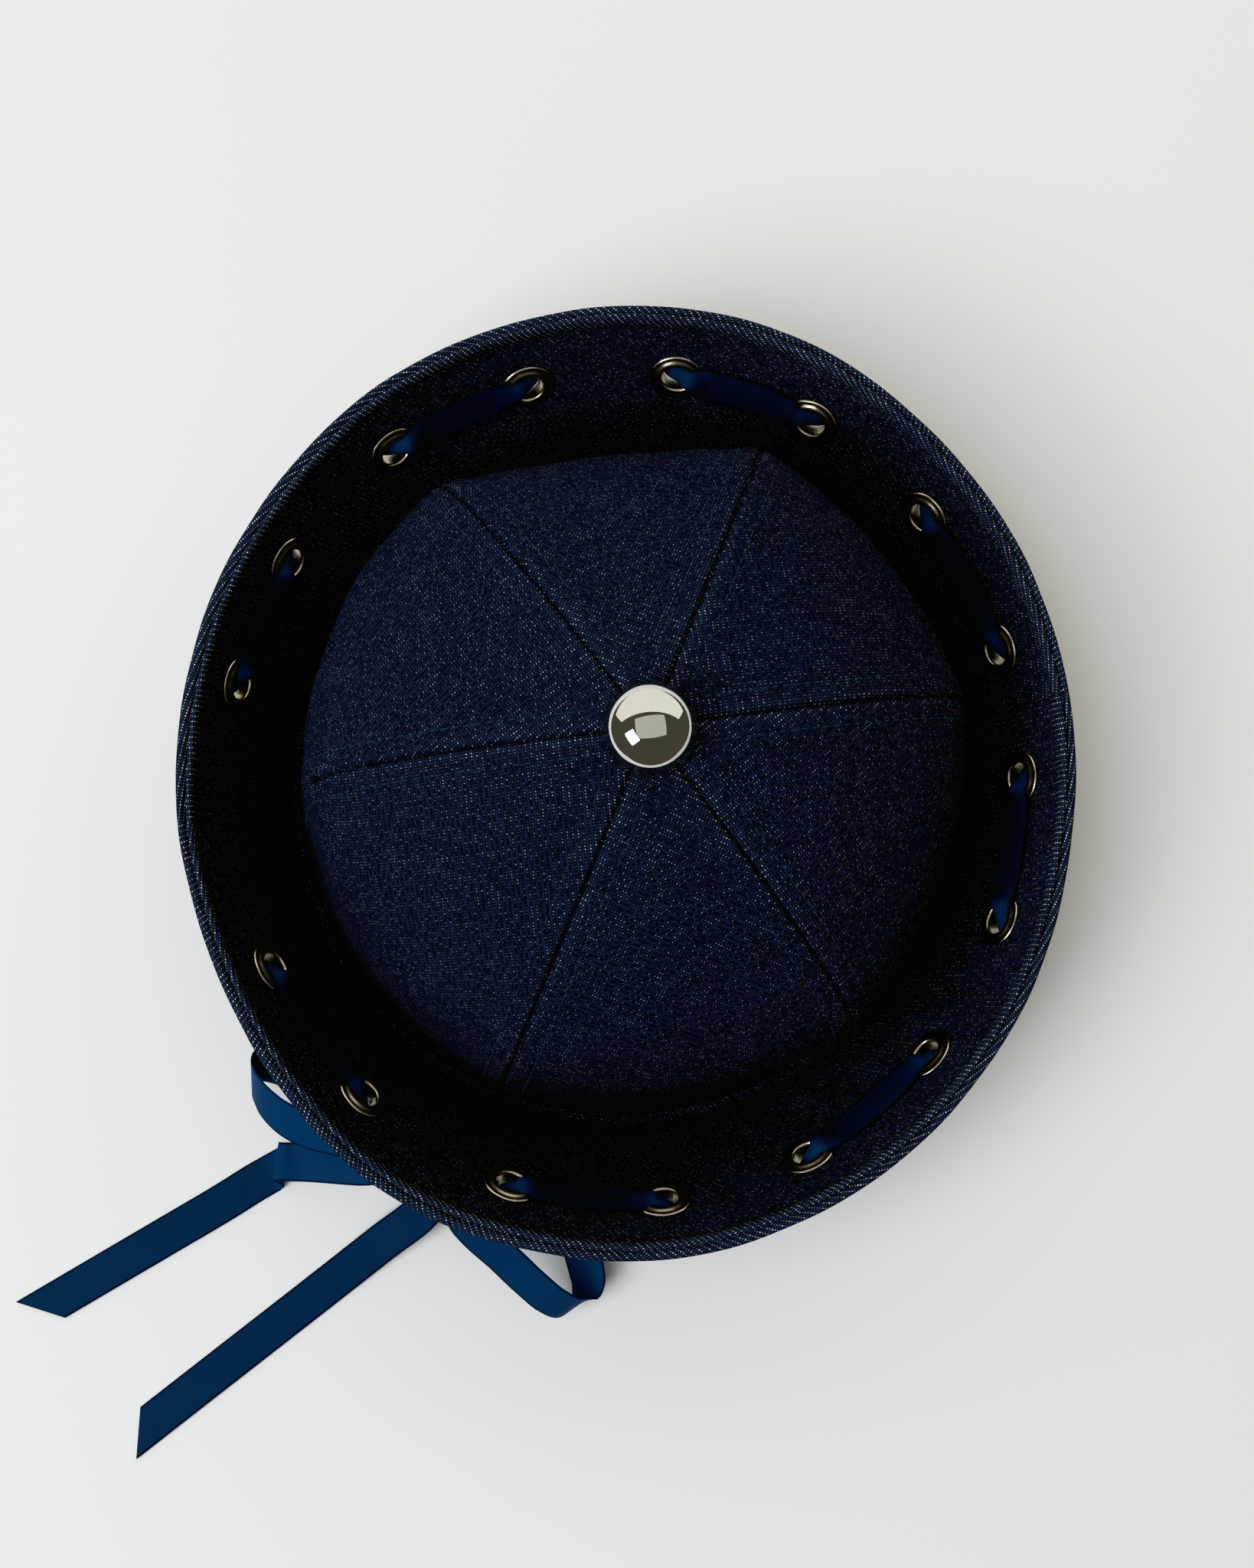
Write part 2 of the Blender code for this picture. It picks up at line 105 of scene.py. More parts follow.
# Satin ribbon: its thickness, the steps along and across its mesh, and its slanted cuts
SATIN_THICKNESS = 0.00035
RIBBON_SPACING = 0.0012
RIBBON_COLUMNS = 12
SLANT_REACH = 0.008
LEAST_CURL = 0.02
LEAST_SKEW = 0.6
RIBBON_CURL = (
    # width share, and half the angle in radians that the section bends through for it
    (0.38, 2.17),
    (0.42, 2.08),
    (0.45, 2.01),
    (0.55, 1.78),
    (0.80, 1.13),
    (0.95, 0.55),
    (1.00, 0.00),
)

# The knot's mesh, how full its ends are, its creases, and how much of the ribbon's width it shows
KNOT_SIDES = 64
KNOT_RINGS = 40
KNOT_FULLNESS = 0.55
KNOT_CREASE = 0.045
KNOT_FOLD = 0.03
KNOT_SHOWN = 0.97

# Satin's painted light from 0 to 1, less is painted shade: in the bow's loops, lying flat, inside the
# brim
LOOP_LIT_SHARE = 0.94
FLAT_LIT_SHARE = 0.62
INSIDE_LIT_SHARE = 0.26

# Within this many radii of an eyelet's middle the satin gets the painted light it has lying flat
HOLE_LIT_REACH = 0.6

# Crown seams: turn and reach; and how flat each panel is in its middle
SEAMS = ((2.0, 0.995), (60.0, 1.005), (118.0, 1.0), (177.0, 0.972), (240.0, 0.985), (301.0, 1.02))
PANEL_FLATS = (0.035, 0.09, 0.01, 0.03, 0.03, 0.035)
CROWN_SECTIONS = (
    # reach, height and how much of the seam's shape shows
    (0.04, 1.000, 0.0),
    (0.15, 0.998, 0.1),
    (0.33, 0.970, 0.3),
    (0.52, 0.922, 0.5),
    (0.70, 0.858, 0.7),
    (0.85, 0.778, 0.9),
    (0.945, 0.690, 1.0),
    (0.992, 0.590, 1.0),
    (1.00, 0.460, 0.8),
    (1.00, 0.230, 0.4),
    (1.00, 0.000, 0.0),
)

# Brim: height against flare, the rim's swells, the dent by the bow, its seams and its eyelets
BRIM_SECTIONS = ((0.0, 0.0), (0.16, 0.125), (0.34, 0.31), (0.52, 0.5), (0.79, 0.785), (1.0, 1.0))
RIM_SWELLS = (
    # turn, half width in degrees, and how much it adds to the radius as a share
    (205.0, 20.0, -0.011),
    (231.0, 14.0, 0.009),
    (66.0, 18.0, 0.006),
    (145.0, 20.0, 0.004),
)
TIE_TURN = 218.0
TIE_HALF_WIDTH = 30.0
TIE_DEPTH = 0.0025
RIGHT_SEAM = 3.0
LEFT_SEAM = 178.5
FRONT_EYELETS = (200.0, 222.0, 246.0, 267.0, 288.0, 310.0, 332.0, 353.0)
BACK_EYELETS = (12.0, 34.0, 55.0, 75.0, 96.0, 117.0, 139.0, 158.0)

# The ribbon's way through an eyelet: way along in its radii, lift and width share
THREADING = (
    (-1.15, 0.85, 0.97),
    (-0.70, 1.00, 0.76),
    (-0.46, 0.82, 0.55),
    (-0.28, 0.42, 0.50),
    (0.28, -0.42, 0.50),
    (0.46, -0.82, 0.55),
    (0.70, -1.00, 0.76),
    (1.15, -0.85, 0.97),
)

# The free ends of the ribbon: x, y, z, bearing of the width in degrees, and width share
LEFT_TAIL = (
    (-0.0735, -0.0962, 0.0278, 140.0, 0.60),
    (-0.0790, -0.0966, 0.0205, 122.0, 0.85),
    (-0.0881, -0.0956, 0.0130, 104.0, 1.00),
    (-0.0992, -0.0933, 0.0085, 98.0, 1.00),
    (-0.1067, -0.0919, 0.0062, 98.0, 1.00),
    (-0.1125, -0.0925, 0.0030, 103.0, 1.00),
    (-0.1190, -0.0962, 0.0008, 112.5, 1.00),
    (-0.1268, -0.0997, 0.0008, 112.5, 1.00),
    (-0.1453, -0.1074, 0.0008, 112.5, 1.00),
    (-0.1637, -0.1150, 0.0008, 112.5, 1.00),
    (-0.1835, -0.1232, 0.0008, 112.5, 1.00),
)
RIGHT_TAIL = (
    (-0.0672, -0.1012, 0.0278, 144.0, 0.60),
    (-0.0688, -0.1062, 0.0175, 138.0, 0.85),
    (-0.0735, -0.1113, 0.0095, 128.0, 1.00),
    (-0.0851, -0.1180, 0.0035, 120.0, 1.00),
    (-0.0971, -0.1250, 0.0012, 120.0, 1.00),
    (-0.1089, -0.1318, 0.0008, 120.0, 1.00),
    (-0.1325, -0.1453, 0.0008, 120.0, 1.00),
    (-0.1604, -0.1613, 0.0008, 120.0, 1.00),
)

# The left tail's two creases, in place of its sixth point: x, y, z and the crease's bearing
LEFT_FOLD_PLACE = 5
LEFT_FOLD = (
    (-0.1108, -0.0912, 0.0062, 73.0),
    (-0.1121, -0.0910, 0.0053, 73.0),
    (-0.1113, -0.0916, 0.0040, 74.0),
    (-0.1100, -0.0926, 0.0027, 80.0),
    (-0.1112, -0.0931, 0.0013, 84.0),
)
FOLD_SPACING = 0.0005
LEFT_TAIL_SLANT = 0.0098
RIGHT_TAIL_SLANT = -0.0097

# The two loops of the bow: x, y, z and width share, then their width's bearing, first and last rise
LEFT_LOOP = (
    (-0.0768, -0.0940, 0.0352, 0.45),
    (-0.0830, -0.0908, 0.0330, 0.85),
    (-0.0928, -0.0863, 0.0290, 1.00),
    (-0.1011, -0.0831, 0.0260, 1.00),
    (-0.1091, -0.0771, 0.0230, 1.00),
    (-0.1133, -0.0711, 0.0200, 1.00),
    (-0.1149, -0.0660, 0.0160, 1.00),
    (-0.1134, -0.0633, 0.0120, 1.00),
    (-0.1101, -0.0647, 0.0105, 1.00),
    (-0.1053, -0.0675, 0.0110, 1.00),
    (-0.1003, -0.0713, 0.0140, 1.00),
    (-0.0904, -0.0817, 0.0210, 1.00),
    (-0.0820, -0.0895, 0.0268, 0.85),
    (-0.0766, -0.0938, 0.0312, 0.45),
)
RIGHT_LOOP = (
    (-0.0656, -0.1036, 0.0350, 0.45),
    (-0.0616, -0.1108, 0.0312, 0.85),
    (-0.0585, -0.1173, 0.0260, 1.00),
    (-0.0511, -0.1265, 0.0210, 1.00),
    (-0.0446, -0.1348, 0.0170, 1.00),
    (-0.0394, -0.1405, 0.0140, 1.00),
    (-0.0345, -0.1433, 0.0100, 1.00),
    (-0.0306, -0.1420, 0.0068, 1.00),
    (-0.0287, -0.1380, 0.0060, 1.00),
    (-0.0288, -0.1318, 0.0070, 1.00),
    (-0.0300, -0.1254, 0.0100, 1.00),
    (-0.0345, -0.1190, 0.0145, 1.00),
    (-0.0450, -0.1115, 0.0210, 1.00),
    (-0.0560, -0.1082, 0.0262, 0.85),
    (-0.0652, -0.1036, 0.0312, 0.45),
)
LEFT_LOOP_WIDTH = (82.0, 8.0, 68.0)
RIGHT_LOOP_WIDTH = (27.0, 27.0, 27.0)

# Denim: the space that one weft and one warp thread takes, its repeat and its pale dots
WEFT_SPACE = 0.000708
WARP_SPACE = 0.00043
TWILL_REPEAT = 4.0
DOT_SHORTNESS = 2.6
DOT_SLIMNESS = 1.05

# Unevenness of the denim: wefts to one tone, and slubs and patches to a weft and to a warp
TONE_STRETCH = 9.0
SLUBS = (0.035, 0.6)
PATCHES = (0.020, 0.012)

# Satin: grains and clouds to a metre along it and to half its width
SATIN_GRAIN = (1600.0, 34.0)
SATIN_CLOUDS = (60.0, 1.2)

# Satin's edge, as shares of the half width: a dark line's soft sides, and the start of a ladder
LINE_START = (0.915, 0.93)
LINE_END = (0.965, 0.98)
LADDER_START = (0.87, 0.89)

# The space that one rung of the ladder takes
LADDER_SPACE = 0.00045

# Colours in linear light; the pairs go from the darker to the lighter
INDIGO = ((0.0032, 0.0044, 0.0145, 1.0), (0.0172, 0.0300, 0.0920, 1.0))
WORN_INDIGO = (0.0240, 0.0400, 0.0720, 1.0)
PALE_WEFT = (0.4600, 0.5200, 0.6200, 1.0)
# The satin in painted shade and in painted light, each from a darker to a lighter grain
SHADED_SATIN = ((0.0008, 0.0018, 0.0080, 1.0), (0.0010, 0.0040, 0.0160, 1.0))
LIT_SATIN = ((0.0022, 0.0290, 0.0980, 1.0), (0.0048, 0.0520, 0.1680, 1.0))
EDGE_LINE = (0.0010, 0.0060, 0.0180, 1.0)
NICKEL = ((0.3400, 0.2950, 0.2400, 1.0), (0.7800, 0.7200, 0.6200, 1.0))
CHROME = ((0.5700, 0.5620, 0.5450, 1.0), (0.6200, 0.6120, 0.5950, 1.0))
THREAD = ((0.0060, 0.0190, 0.0380, 1.0), (0.0230, 0.0560, 0.0980, 1.0))
PALE_FLOOR = ((0.8150, 0.8330, 0.8680, 1.0), (0.8450, 0.8630, 0.8980, 1.0))

# Steps in degrees and in share of height that give the brim's slope at a place
TURN_STEP = 0.5
UP_STEP = 0.05

# Solids turned about an axis: their sides, the sharpest smooth edge in degrees, and joined points
EYELET_SIDES = 56
DOME_SIDES = 128
DOME_STEPS = 48
SHARP_TURN = 35.0
SAME_PLACE = 0.000001

# Crown: distances of the mesh columns from a seam, and of the rows from each other
STITCH_FROM_SEAM = 0.0060
SEAM_COLUMNS = (
    0.0, 0.0003, 0.0006, 0.0009, 0.0013, 0.0020, 0.0030,
    0.0042, 0.0052, 0.0057, STITCH_FROM_SEAM, 0.0063, 0.0069, 0.0080,
)
SEAM_MIDDLE_COLUMNS = 26
SEAM_NARROW = 0.0086
CROWN_SPACING = 0.0011

# Relief beside a crown seam, most of it as distance from the seam, reach and height
SEAM_VALLEY = (0.0, 0.0006, -0.0011)
STITCH_VALLEY = (STITCH_FROM_SEAM, 0.0006, -0.00022)
PUCKERS = (0.0035, 0.0040, 0.00009)
LONG_PUCKER = 0.0092
SHORT_PUCKER = 0.0057
FELL_HEIGHT = 0.00035
FELL_START = 0.0010
FELL_END = (STITCH_FROM_SEAM, 0.0025)

# The crown's own waves: lengths across and down, height, and how far from a seam they are full
BROAD_WAVE = (0.0085, 0.0190)
CROSS_WAVE = 0.0125
FINE_WAVE = (0.0052, 0.0110)
CROWN_WAVE_HEIGHT = 0.00022
CROWN_WAVE_RISE = 0.0200

# Wear on the crown: beside a seam and round the button; and the cloth darker, with duller dots, down
# the sides
SEAM_WEAR = (0.0016, 0.0010, 0.35)
TOP_WEAR = (0.0, 0.0120, 0.10)
TOP_WEAR_DOWN = 0.0600
SIDE_DARKENING = 0.22
SIDE_DARKENING_FROM = (0.025, 0.045)

# A gore's flat cloth opens by at least this share of the way down it
LEAST_FLARE = 0.03

# Stitches: size, and how far from the middle of the top and above the surface they are sewn
STITCH_LENGTH = 0.0021
STITCH_SPACE = 0.0031
STITCH_RADIUS = 0.00022
STITCH_SIDES = 6
STITCH_SECTIONS = (
    # way along in lengths, then thickness and lift in radii
    (-0.50, 0.35, -0.90),
    (-0.42, 0.85, -0.10),
    (-0.15, 1.00, 0.45),
    (0.15, 1.00, 0.45),
    (0.42, 0.85, -0.10),
    (0.50, 0.35, -0.90),
)
STITCHES_FROM = 0.0145
STITCHES_ABOVE = 0.012

# Brim: mesh columns and rows in a half, and a place that all of it faces or turns its back on
BRIM_COLUMNS = 480
BRIM_ROWS = 46
BRIM_CENTRE = (0.0, 0.0, 0.05)

# The brim's cloth laid flat: how much of its turn is left, and the middle of each half
BRIM_DEVELOP = 0.40
BACK_MIDDLE = 91.0
FRONT_MIDDLE = 271.0

# The hem's outer and inner face: way out from the foot of the brim, and height
OUTER_HEM = (
    (-HEM_DEPTH, 0.0),
    (-0.0055, 0.0),
    (-0.0040, 0.0),
    (-0.0029, 0.0),
    (-0.0019, 0.00012),
    (-0.0011, 0.00045),
    (-0.0005, 0.00105),
    (-0.00015, 0.00175),
)
INNER_HEM = (
    (-HEM_DEPTH, BRIM_CLOTH),
    (-0.0063, BRIM_CLOTH),
    (-0.0056, BRIM_CLOTH),
    (-0.0050, 0.00242),
    (-0.0043, 0.00250),
    (-0.0036, 0.00265),
    (-0.0030, 0.00290),
    (-0.0026, 0.00310),
)

# Rolled rim: how far down it reaches, its lean, its groove, and the inner cloth's fold beside it
ROLL_REACH = 0.0075
ROLL_SHARE = 0.44
ROLL_OVERHANG = 0.35
LEAN_SHARE = 0.12
GROOVE_DEPTH = 0.0018
RIM_GROOVE = 0.0007
RIM_INNER_ROLL = 0.00145
LEAST_CREST = 0.0038
ROLL_TUCK = (0.00035, 0.00003)
FOLD_DROP = 0.0006
FOLD_TUCK = 0.00005
ROLL_ROWS = (0.0062, 0.0050, 0.0039, 0.0029)
ROLL_ANGLES = (0.0, 30.0, 60.0, 90.0, 120.0, 150.0, 180.0)
FOLD_ANGLES = (65.0, 35.0, 0.0, -35.0, -65.0, -90.0)
INNER_SWELL = (
    # distance down from the rim, and how much of the fold's thickness shows there
    (0.0066, 0.10),
    (0.0056, 0.30),
    (0.0046, 0.58),
    (0.0036, 0.84),
    (0.0026, 0.98),
    (0.0018, 1.00),
)
OUTER_ROLL = (
    # turn and the width of the outer cloth's roll at the rim
    (0.0, 0.0019),
    (20.0, 0.0022),
    (110.0, 0.0022),
    (125.0, 0.0032),
    (170.0, 0.0032),
    (180.0, 0.0020),
    (215.0, 0.0036),
    (240.0, 0.0036),
    (298.0, 0.0022),
    (330.0, 0.0030),
    (360.0, 0.0019),
)

# The rim's unevenness: waves in a full turn, where they start and their share of it
RIM_STRAY = ((7.0, 0.4, 0.50), (12.0, 2.1, 0.35), (23.0, 5.0, 0.20))
STRAY_OUT = 0.00035
STRAY_UP = 0.0004
STRAY_TURN = 40.0

# Relief of the brim, most of it as distance, reach and height: side seams, eyelets and waves
SIDE_SEAM_VALLEY = (0.0, 0.0006, -0.0004)
SIDE_SEAM_RIDGE = (0.0035, 0.0030, 0.0003)
SIDE_SEAM_FROM = (0.003, 0.012)
EYELET_VALLEY = (0.0080, 0.0022, -0.00035)
BRIM_WAVES = 38.0
BRIM_WAVE_SLANT = 0.006
BRIM_WAVE_HEIGHT = 0.00018
BRIM_WAVE_RISE = 0.02

# Each face of the brim: its warp's turn, wear by distance, reach and strength, and painted shade all
# over
OUTSIDE_CLOTH = (-11.0, (0.0018, 0.0034, 0.80), 0.0)
# Inside, the cloth is painted darker all over: painted shade
INSIDE_CLOTH = (66.0, (0.0018, 0.0060, 0.90), -0.18)

# Eyelets: the hole in the cloth, and the outline of the two parts as radius and height
EYELET_HOLE = 0.0053
EYELET_CLEARANCE = 0.0002
EYELET_INSIDE = (
    (EYELET_RADIUS, 0.0),
    (0.00764, 0.00025),
    (0.00745, 0.00050),
    (0.00705, 0.00063),
    (0.00670, 0.00060),
    (0.00645, 0.00052),
    (0.00620, 0.00060),
    (0.00580, 0.00088),
    (0.00530, 0.00112),
    (0.00480, 0.00116),
    (0.00440, 0.00098),
    (0.00418, 0.00062),
    (EYELET_BORE, 0.00010),
)
EYELET_OUTSIDE = (
    (EYELET_BORE, 0.00010),
    (0.00418, 0.00055),
    (0.00442, 0.00082),
    (0.00485, 0.00095),
    (0.00540, 0.00090),
    (0.00595, 0.00066),
    (0.00630, 0.00048),
    (0.00660, 0.00052),
    (0.00695, 0.00056),
    (0.00725, 0.00042),
    (0.00740, 0.00020),
    (0.00738, 0.0),
)

# Studio: a window at the left, a pale wall behind, and most of the light soft from high at the left
FLOOR_SIDE = 0.48
FLOOR_BACK = 1.16
ROOM_STRENGTH = 0.085
ROOM_COLOUR = (1.0, 0.93, 0.80, 1.0)
LIGHTS = (
    # name, turn, elevation, distance, size, brightness, colour, and whether metal mirrors it
    ("window", 204.0, 41.0, 1.5, (0.74, 0.60), 4.1, (0.98, 1.0, 1.0), True),
    ("high_left", 199.0, 56.0, 1.8, (1.2, 1.5), 2.33, (0.99, 1.0, 1.0), False),
    ("back_wall", 85.0, 30.6, 1.0, (5.0, 1.18), 0.84, (1.0, 0.97, 0.83), True),
    ("ceiling", 270.0, 87.0, 1.9, (2.6, 1.77), 0.42, (1.0, 0.98, 0.93), True),
)

# The camera's tones: what red, green and blue still show as black, and light in against tone out
BLACK_LEVEL = (0.0002, 0.0013, 0.0074)
TONE_CURVE = (
    (0.000, 0.0008),
    (0.005, 0.0020),
    (0.008, 0.0038),
    (0.012, 0.0080),
    (0.016, 0.0140),
    (0.050, 0.0510),
    (0.150, 0.1700),
    (0.350, 0.4800),
    (0.550, 0.6900),
    (0.750, 0.8350),
    (0.900, 0.9200),
    (1.000, 1.0000),
)


# Helpers for Blender's objects


def new_object(name, data):
    made = bpy.data.objects.new(name, data)
    bpy.context.scene.collection.objects.link(made)
    return made


def placed(place, *axes):
    """The matrix that puts something at a place, with its X, Y and Z along the given axes."""
    turn = Matrix([Vector(axis) for axis in axes]).transposed().to_4x4()
    return Matrix.Translation(Vector(place)) @ turn


def direction(bearing, rise=0.0):
    """The way that a bearing round the hat and a rise above level point, both in degrees."""
    bearing = radians(bearing)
    rise = radians(rise)
    return cos(bearing) * cos(rise), sin(bearing) * cos(rise), sin(rise)


# Camera


def make_camera():
    data = bpy.data.cameras.new("camera")
    data.sensor_fit = "AUTO"
    data.sensor_width = CAMERA_SENSOR
    data.lens = CAMERA_LENS
    camera = new_object("camera", data)
    place = Vector(CAMERA_PLACE)
    back = (place - Vector(CAMERA_AIM)).normalized()
    right = Vector(CAMERA_UP).cross(back).normalized()
    camera.matrix_world = placed(place, right, back.cross(right), back)
    bpy.context.scene.camera = camera


# Shader maths


def maths(operation, swapped=False):
    """A method of a value that puts it, and the number or value beside it, into a maths node."""

    def method(self, other=0.0):
        first, second = (other, self) if swapped else (self, other)
        settings = {"operation": operation}
        return self.look.node("ShaderNodeMath", settings, {0: first, 1: second})

    return method


class Value:
    """A node's output, so that shader maths reads as a sum."""

    def __init__(self, look, socket):
        self.look = look
        self.socket = socket

    __add__ = __radd__ = maths("ADD")
    __sub__ = maths("SUBTRACT")
    __rsub__ = maths("SUBTRACT", swapped=True)
    __mul__ = __rmul__ = maths("MULTIPLY")
    __truediv__ = maths("DIVIDE")
    __rtruediv__ = maths("DIVIDE", swapped=True)
    __mod__ = maths("FLOORED_MODULO")
    __rmod__ = maths("FLOORED_MODULO", swapped=True)
    __abs__ = maths("ABSOLUTE")
    floor = maths("FLOOR")
    fraction = maths("FRACT")
    sine = maths("SINE")
    below = maths("LESS_THAN")
    at_least = maths("MAXIMUM")
    at_most = maths("MINIMUM")

    def rise(self, low, high):
        """0 below low and 1 above high, with a soft step between."""
        settings = {"interpolation_type": "SMOOTHSTEP"}
        return self.look.node("ShaderNodeMapRange", settings, {0: self, 1: low, 2: high})


class Look:
    """A material on its way, with the nodes that give it its detail."""

    def __init__(self, name, constants):
        self.material = bpy.data.materials.new(name)
        self.material.use_nodes = True
        self.tree = self.material.node_tree
        self.shader = self.tree.nodes["Principled BSDF"]
        self.set(constants)

    def feed(self, socket, value):
        if isinstance(value, Value):
            self.tree.links.new(value.socket, socket)
        else:
            socket.default_value = value

    def set(self, values):
        for name, value in values.items():
            self.feed(self.shader.inputs[name], value)

    def node(self, kind, settings, inputs, output=0):
        node = self.tree.nodes.new(kind)
        for name, value in settings.items():
            setattr(node, name, value)
        for name, value in inputs.items():
            self.feed(node.inputs[name], value)
        return Value(self, node.outputs[output])

    def split(self, vector):
        return [self.node("ShaderNodeSeparateXYZ", {}, {0: vector}, axis) for axis in range(3)]

    def vector(self, x, y, z):
        return self.node("ShaderNodeCombineXYZ", {}, {0: x, 1: y, 2: z})

    def cloth_place(self):
        """The cloth's own coordinates, which the mesh carries."""
        place = self.node("ShaderNodeAttribute", {"attribute_name": "cloth_place"}, {}, "Vector")
        return self.split(place)

    def object_place(self):
        return self.node("ShaderNodeTexCoord", {}, {}, "Object")

    def noise(self, place, scale, detail):
        inputs = {"Vector": place, "Scale": scale, "Detail": detail}
        return self.node("ShaderNodeTexNoise", {}, inputs)

    def chance(self, x, y):
        """A different number from 0 to 1 for each whole x and y."""
        place = self.vector(x, y, 0.0)
        return self.node("ShaderNodeTexWhiteNoise", {"noise_dimensions": "3D"}, {"Vector": place})

    def mix(self, share, first, second):
        """The first colour where the share is 0, and the second where it is 1."""
        return self.node("ShaderNodeMix", {"data_type": "RGBA"}, {0: share, 6: first, 7: second}, 2)

    def bump(self, height, distance, strength):
        inputs = {"Height": height, "Distance": distance, "Strength": strength}
        return self.node("ShaderNodeBump", {}, inputs)


# Finishes


def denim_look():
    """Indigo twill: three warp threads over each pale weft dot, worn paler along its edges.

    The cloth's coordinates count its wefts and its warps, and say how worn it is; below nothing they
    give painted shade.
    """
    look = Look("indigo_twill", {"Roughness": 0.9, "Specular IOR Level": 0.02})
    wefts, warps, wear_and_shade = look.cloth_place()
    weft = wefts.floor()
    warp = warps.floor()
    step = (weft - warp) % TWILL_REPEAT
    dot_cell = step.below(0.5)
    across = (warps.fraction() - 0.5) * 2.0
    thread = 1.0 - across * across
    float_place = ((step + wefts.fraction() - 1.0) / (TWILL_REPEAT - 1.0)).at_least(0.0)
    hump = (float_place * pi).sine().at_least(0.0)
    dot_along = (wefts.fraction() - 0.5) * DOT_SHORTNESS
    dot_across = across * DOT_SLIMNESS
    dot = (1.0 - dot_along * dot_along - dot_across * dot_across).at_least(0.0) * dot_cell
    luck = look.chance(weft, warp)
    thread_luck = look.chance((weft / TONE_STRETCH).floor(), warp)
    slub = look.noise(look.vector(wefts * SLUBS[0], warps * SLUBS[1], 0.0), scale=1.0, detail=3.0)
    patch = look.noise(look.vector(wefts * PATCHES[0], warps * PATCHES[1], 0.0), scale=1.0, detail=2.0)
    fleck = look.chance(weft + 0.5, warp)
    # Warp floats: painted highlight on their crowns, painted shade where they dip, and random tone
    stroke = hump * thread * (1.0 - dot_cell) * (thread_luck * 0.45 + fleck * 0.75 + slub * 0.30)
    blue = look.mix(stroke, *INDIGO)
    worn = look.mix((wear_and_shade * 0.40 * patch).at_least(0.0), blue, WORN_INDIGO)
    shown = wear_and_shade.at_least(0.0)
    whiteness = dot * (0.03 + luck * luck * luck * (0.95 + shown) + shown * 0.35)
    # Pale dots show more where the cloth is worn, and less under its painted shade
    whiteness = whiteness * (0.40 + patch * 0.62 + wear_and_shade * 0.75)
    colour = look.mix(whiteness.at_most(1.0), worn, PALE_WEFT)
    height = stroke * 0.55 + dot * 0.8 + slub * 0.25
    look.set({"Base Color": colour, "Normal": look.bump(height, distance=0.00016, strength=0.6)})
    return look.material


def ribbon_look():
    """Blue satin with fine threads along it, and a dark laddered line inside each edge.

    The third cloth coordinate mixes painted shade and painted light into its colour: most painted
    shade inside the brim.
    """
    look = Look("blue_satin", {"Specular IOR Level": 0.02})
    along, across, lit_share = look.cloth_place()
    grain_place = look.vector(along * SATIN_GRAIN[0], across * SATIN_GRAIN[1], 0.0)
    cloud_place = look.vector(along * SATIN_CLOUDS[0], across * SATIN_CLOUDS[1], 3.0)
    grain = look.noise(grain_place, scale=1.0, detail=3.0)
    cloud = look.noise(cloud_place, scale=1.0, detail=2.0)
    # Grain of the threads, and their streaky sheen painted into the colour
    shine = grain * 0.7 + cloud * 0.3
    # Painted shade and painted light, mixed by the third cloth coordinate
    body = look.mix(lit_share, look.mix(shine, *SHADED_SATIN), look.mix(shine, *LIT_SATIN))
    edge = abs(across)
    line = edge.rise(*LINE_START) * (1.0 - edge.rise(*LINE_END))
    rung = (along / LADDER_SPACE).fraction().below(0.5) * edge.rise(*LADDER_START)
    dark = (line + rung * 0.6).at_most(1.0)
    height = grain * 0.6 - dark
    look.set({
        "Base Color": look.mix(dark * 0.8, body, EDGE_LINE),
        "Roughness": 0.33 + grain * 0.14,
        "Normal": look.bump(height, distance=0.00006, strength=0.7),
    })
    return look.material


def nickel_look():
    """Antique nickel: warm, and a little uneven in colour and in polish."""
    look = Look("antique_nickel", {"Metallic": 1.0})
    place = look.object_place()
    cloud = look.noise(place, scale=420.0, detail=3.0)
    fine = look.noise(place, scale=2600.0, detail=2.0)
    look.set({
        "Base Color": look.mix(cloud, *NICKEL),
        "Roughness": 0.16 + cloud * 0.14 + fine * 0.05,
        "Normal": look.bump(fine, distance=0.00002, strength=0.35),
    })
    return look.material


def chrome_look():
    """Bright chrome with the faintest uneven polish."""
    look = Look("polished_chrome", {"Metallic": 1.0})
    cloud = look.noise(look.object_place(), scale=130.0, detail=2.0)
    look.set({"Base Color": look.mix(cloud, *CHROME), "Roughness": 0.015 + cloud * 0.02})
    return look.material


def thread_look():
    """Sewing thread, twisted and a little paler than the cloth."""
    look = Look("sewing_thread", {"Roughness": 0.7, "Specular IOR Level": 0.05})
    twist = look.noise(look.object_place(), scale=5200.0, detail=2.0)
    look.set({"Base Color": look.mix(twist, *THREAD)})
    return look.material


def floor_look():
    look = Look("pale_floor", {"Roughness": 0.9, "Specular IOR Level": 0.1})
    cloud = look.noise(look.object_place(), scale=3.0, detail=2.0)
    look.set({"Base Color": look.mix(cloud, *PALE_FLOOR)})
    return look.material


# Shapes and meshes


def bell(distance, reach):
    """1 where the distance is nothing, falling softly to nothing at about twice the reach."""
    return np.exp(-((distance / reach) ** 2))


def ridge(distance, middle, reach, height):
    """A soft ridge at a distance, or a valley where the height is less than nothing."""
    return height * bell(distance - middle, reach)


def ramp(distance, start, length):
    """0 up to the start, and 1 from the length beyond it."""
    return np.clip((distance - start) / length, 0.0, 1.0)


def table_value(table, x):
    """What a table of pairs gives for x, with straight lines between its rows."""
    xs, ys = zip(*table)
    return np.interp(x, xs, ys)


def stacked(*parts):
    """Numbers and grids that belong together, as one grid with a row of them at each place."""
    return np.stack(np.broadcast_arrays(*parts), axis=-1)


def way_along(places):
    """How far along a line each of its places is."""
    steps = np.linalg.norm(np.diff(places, axis=0), axis=1)
    return np.concatenate([[0.0], np.cumsum(steps)])


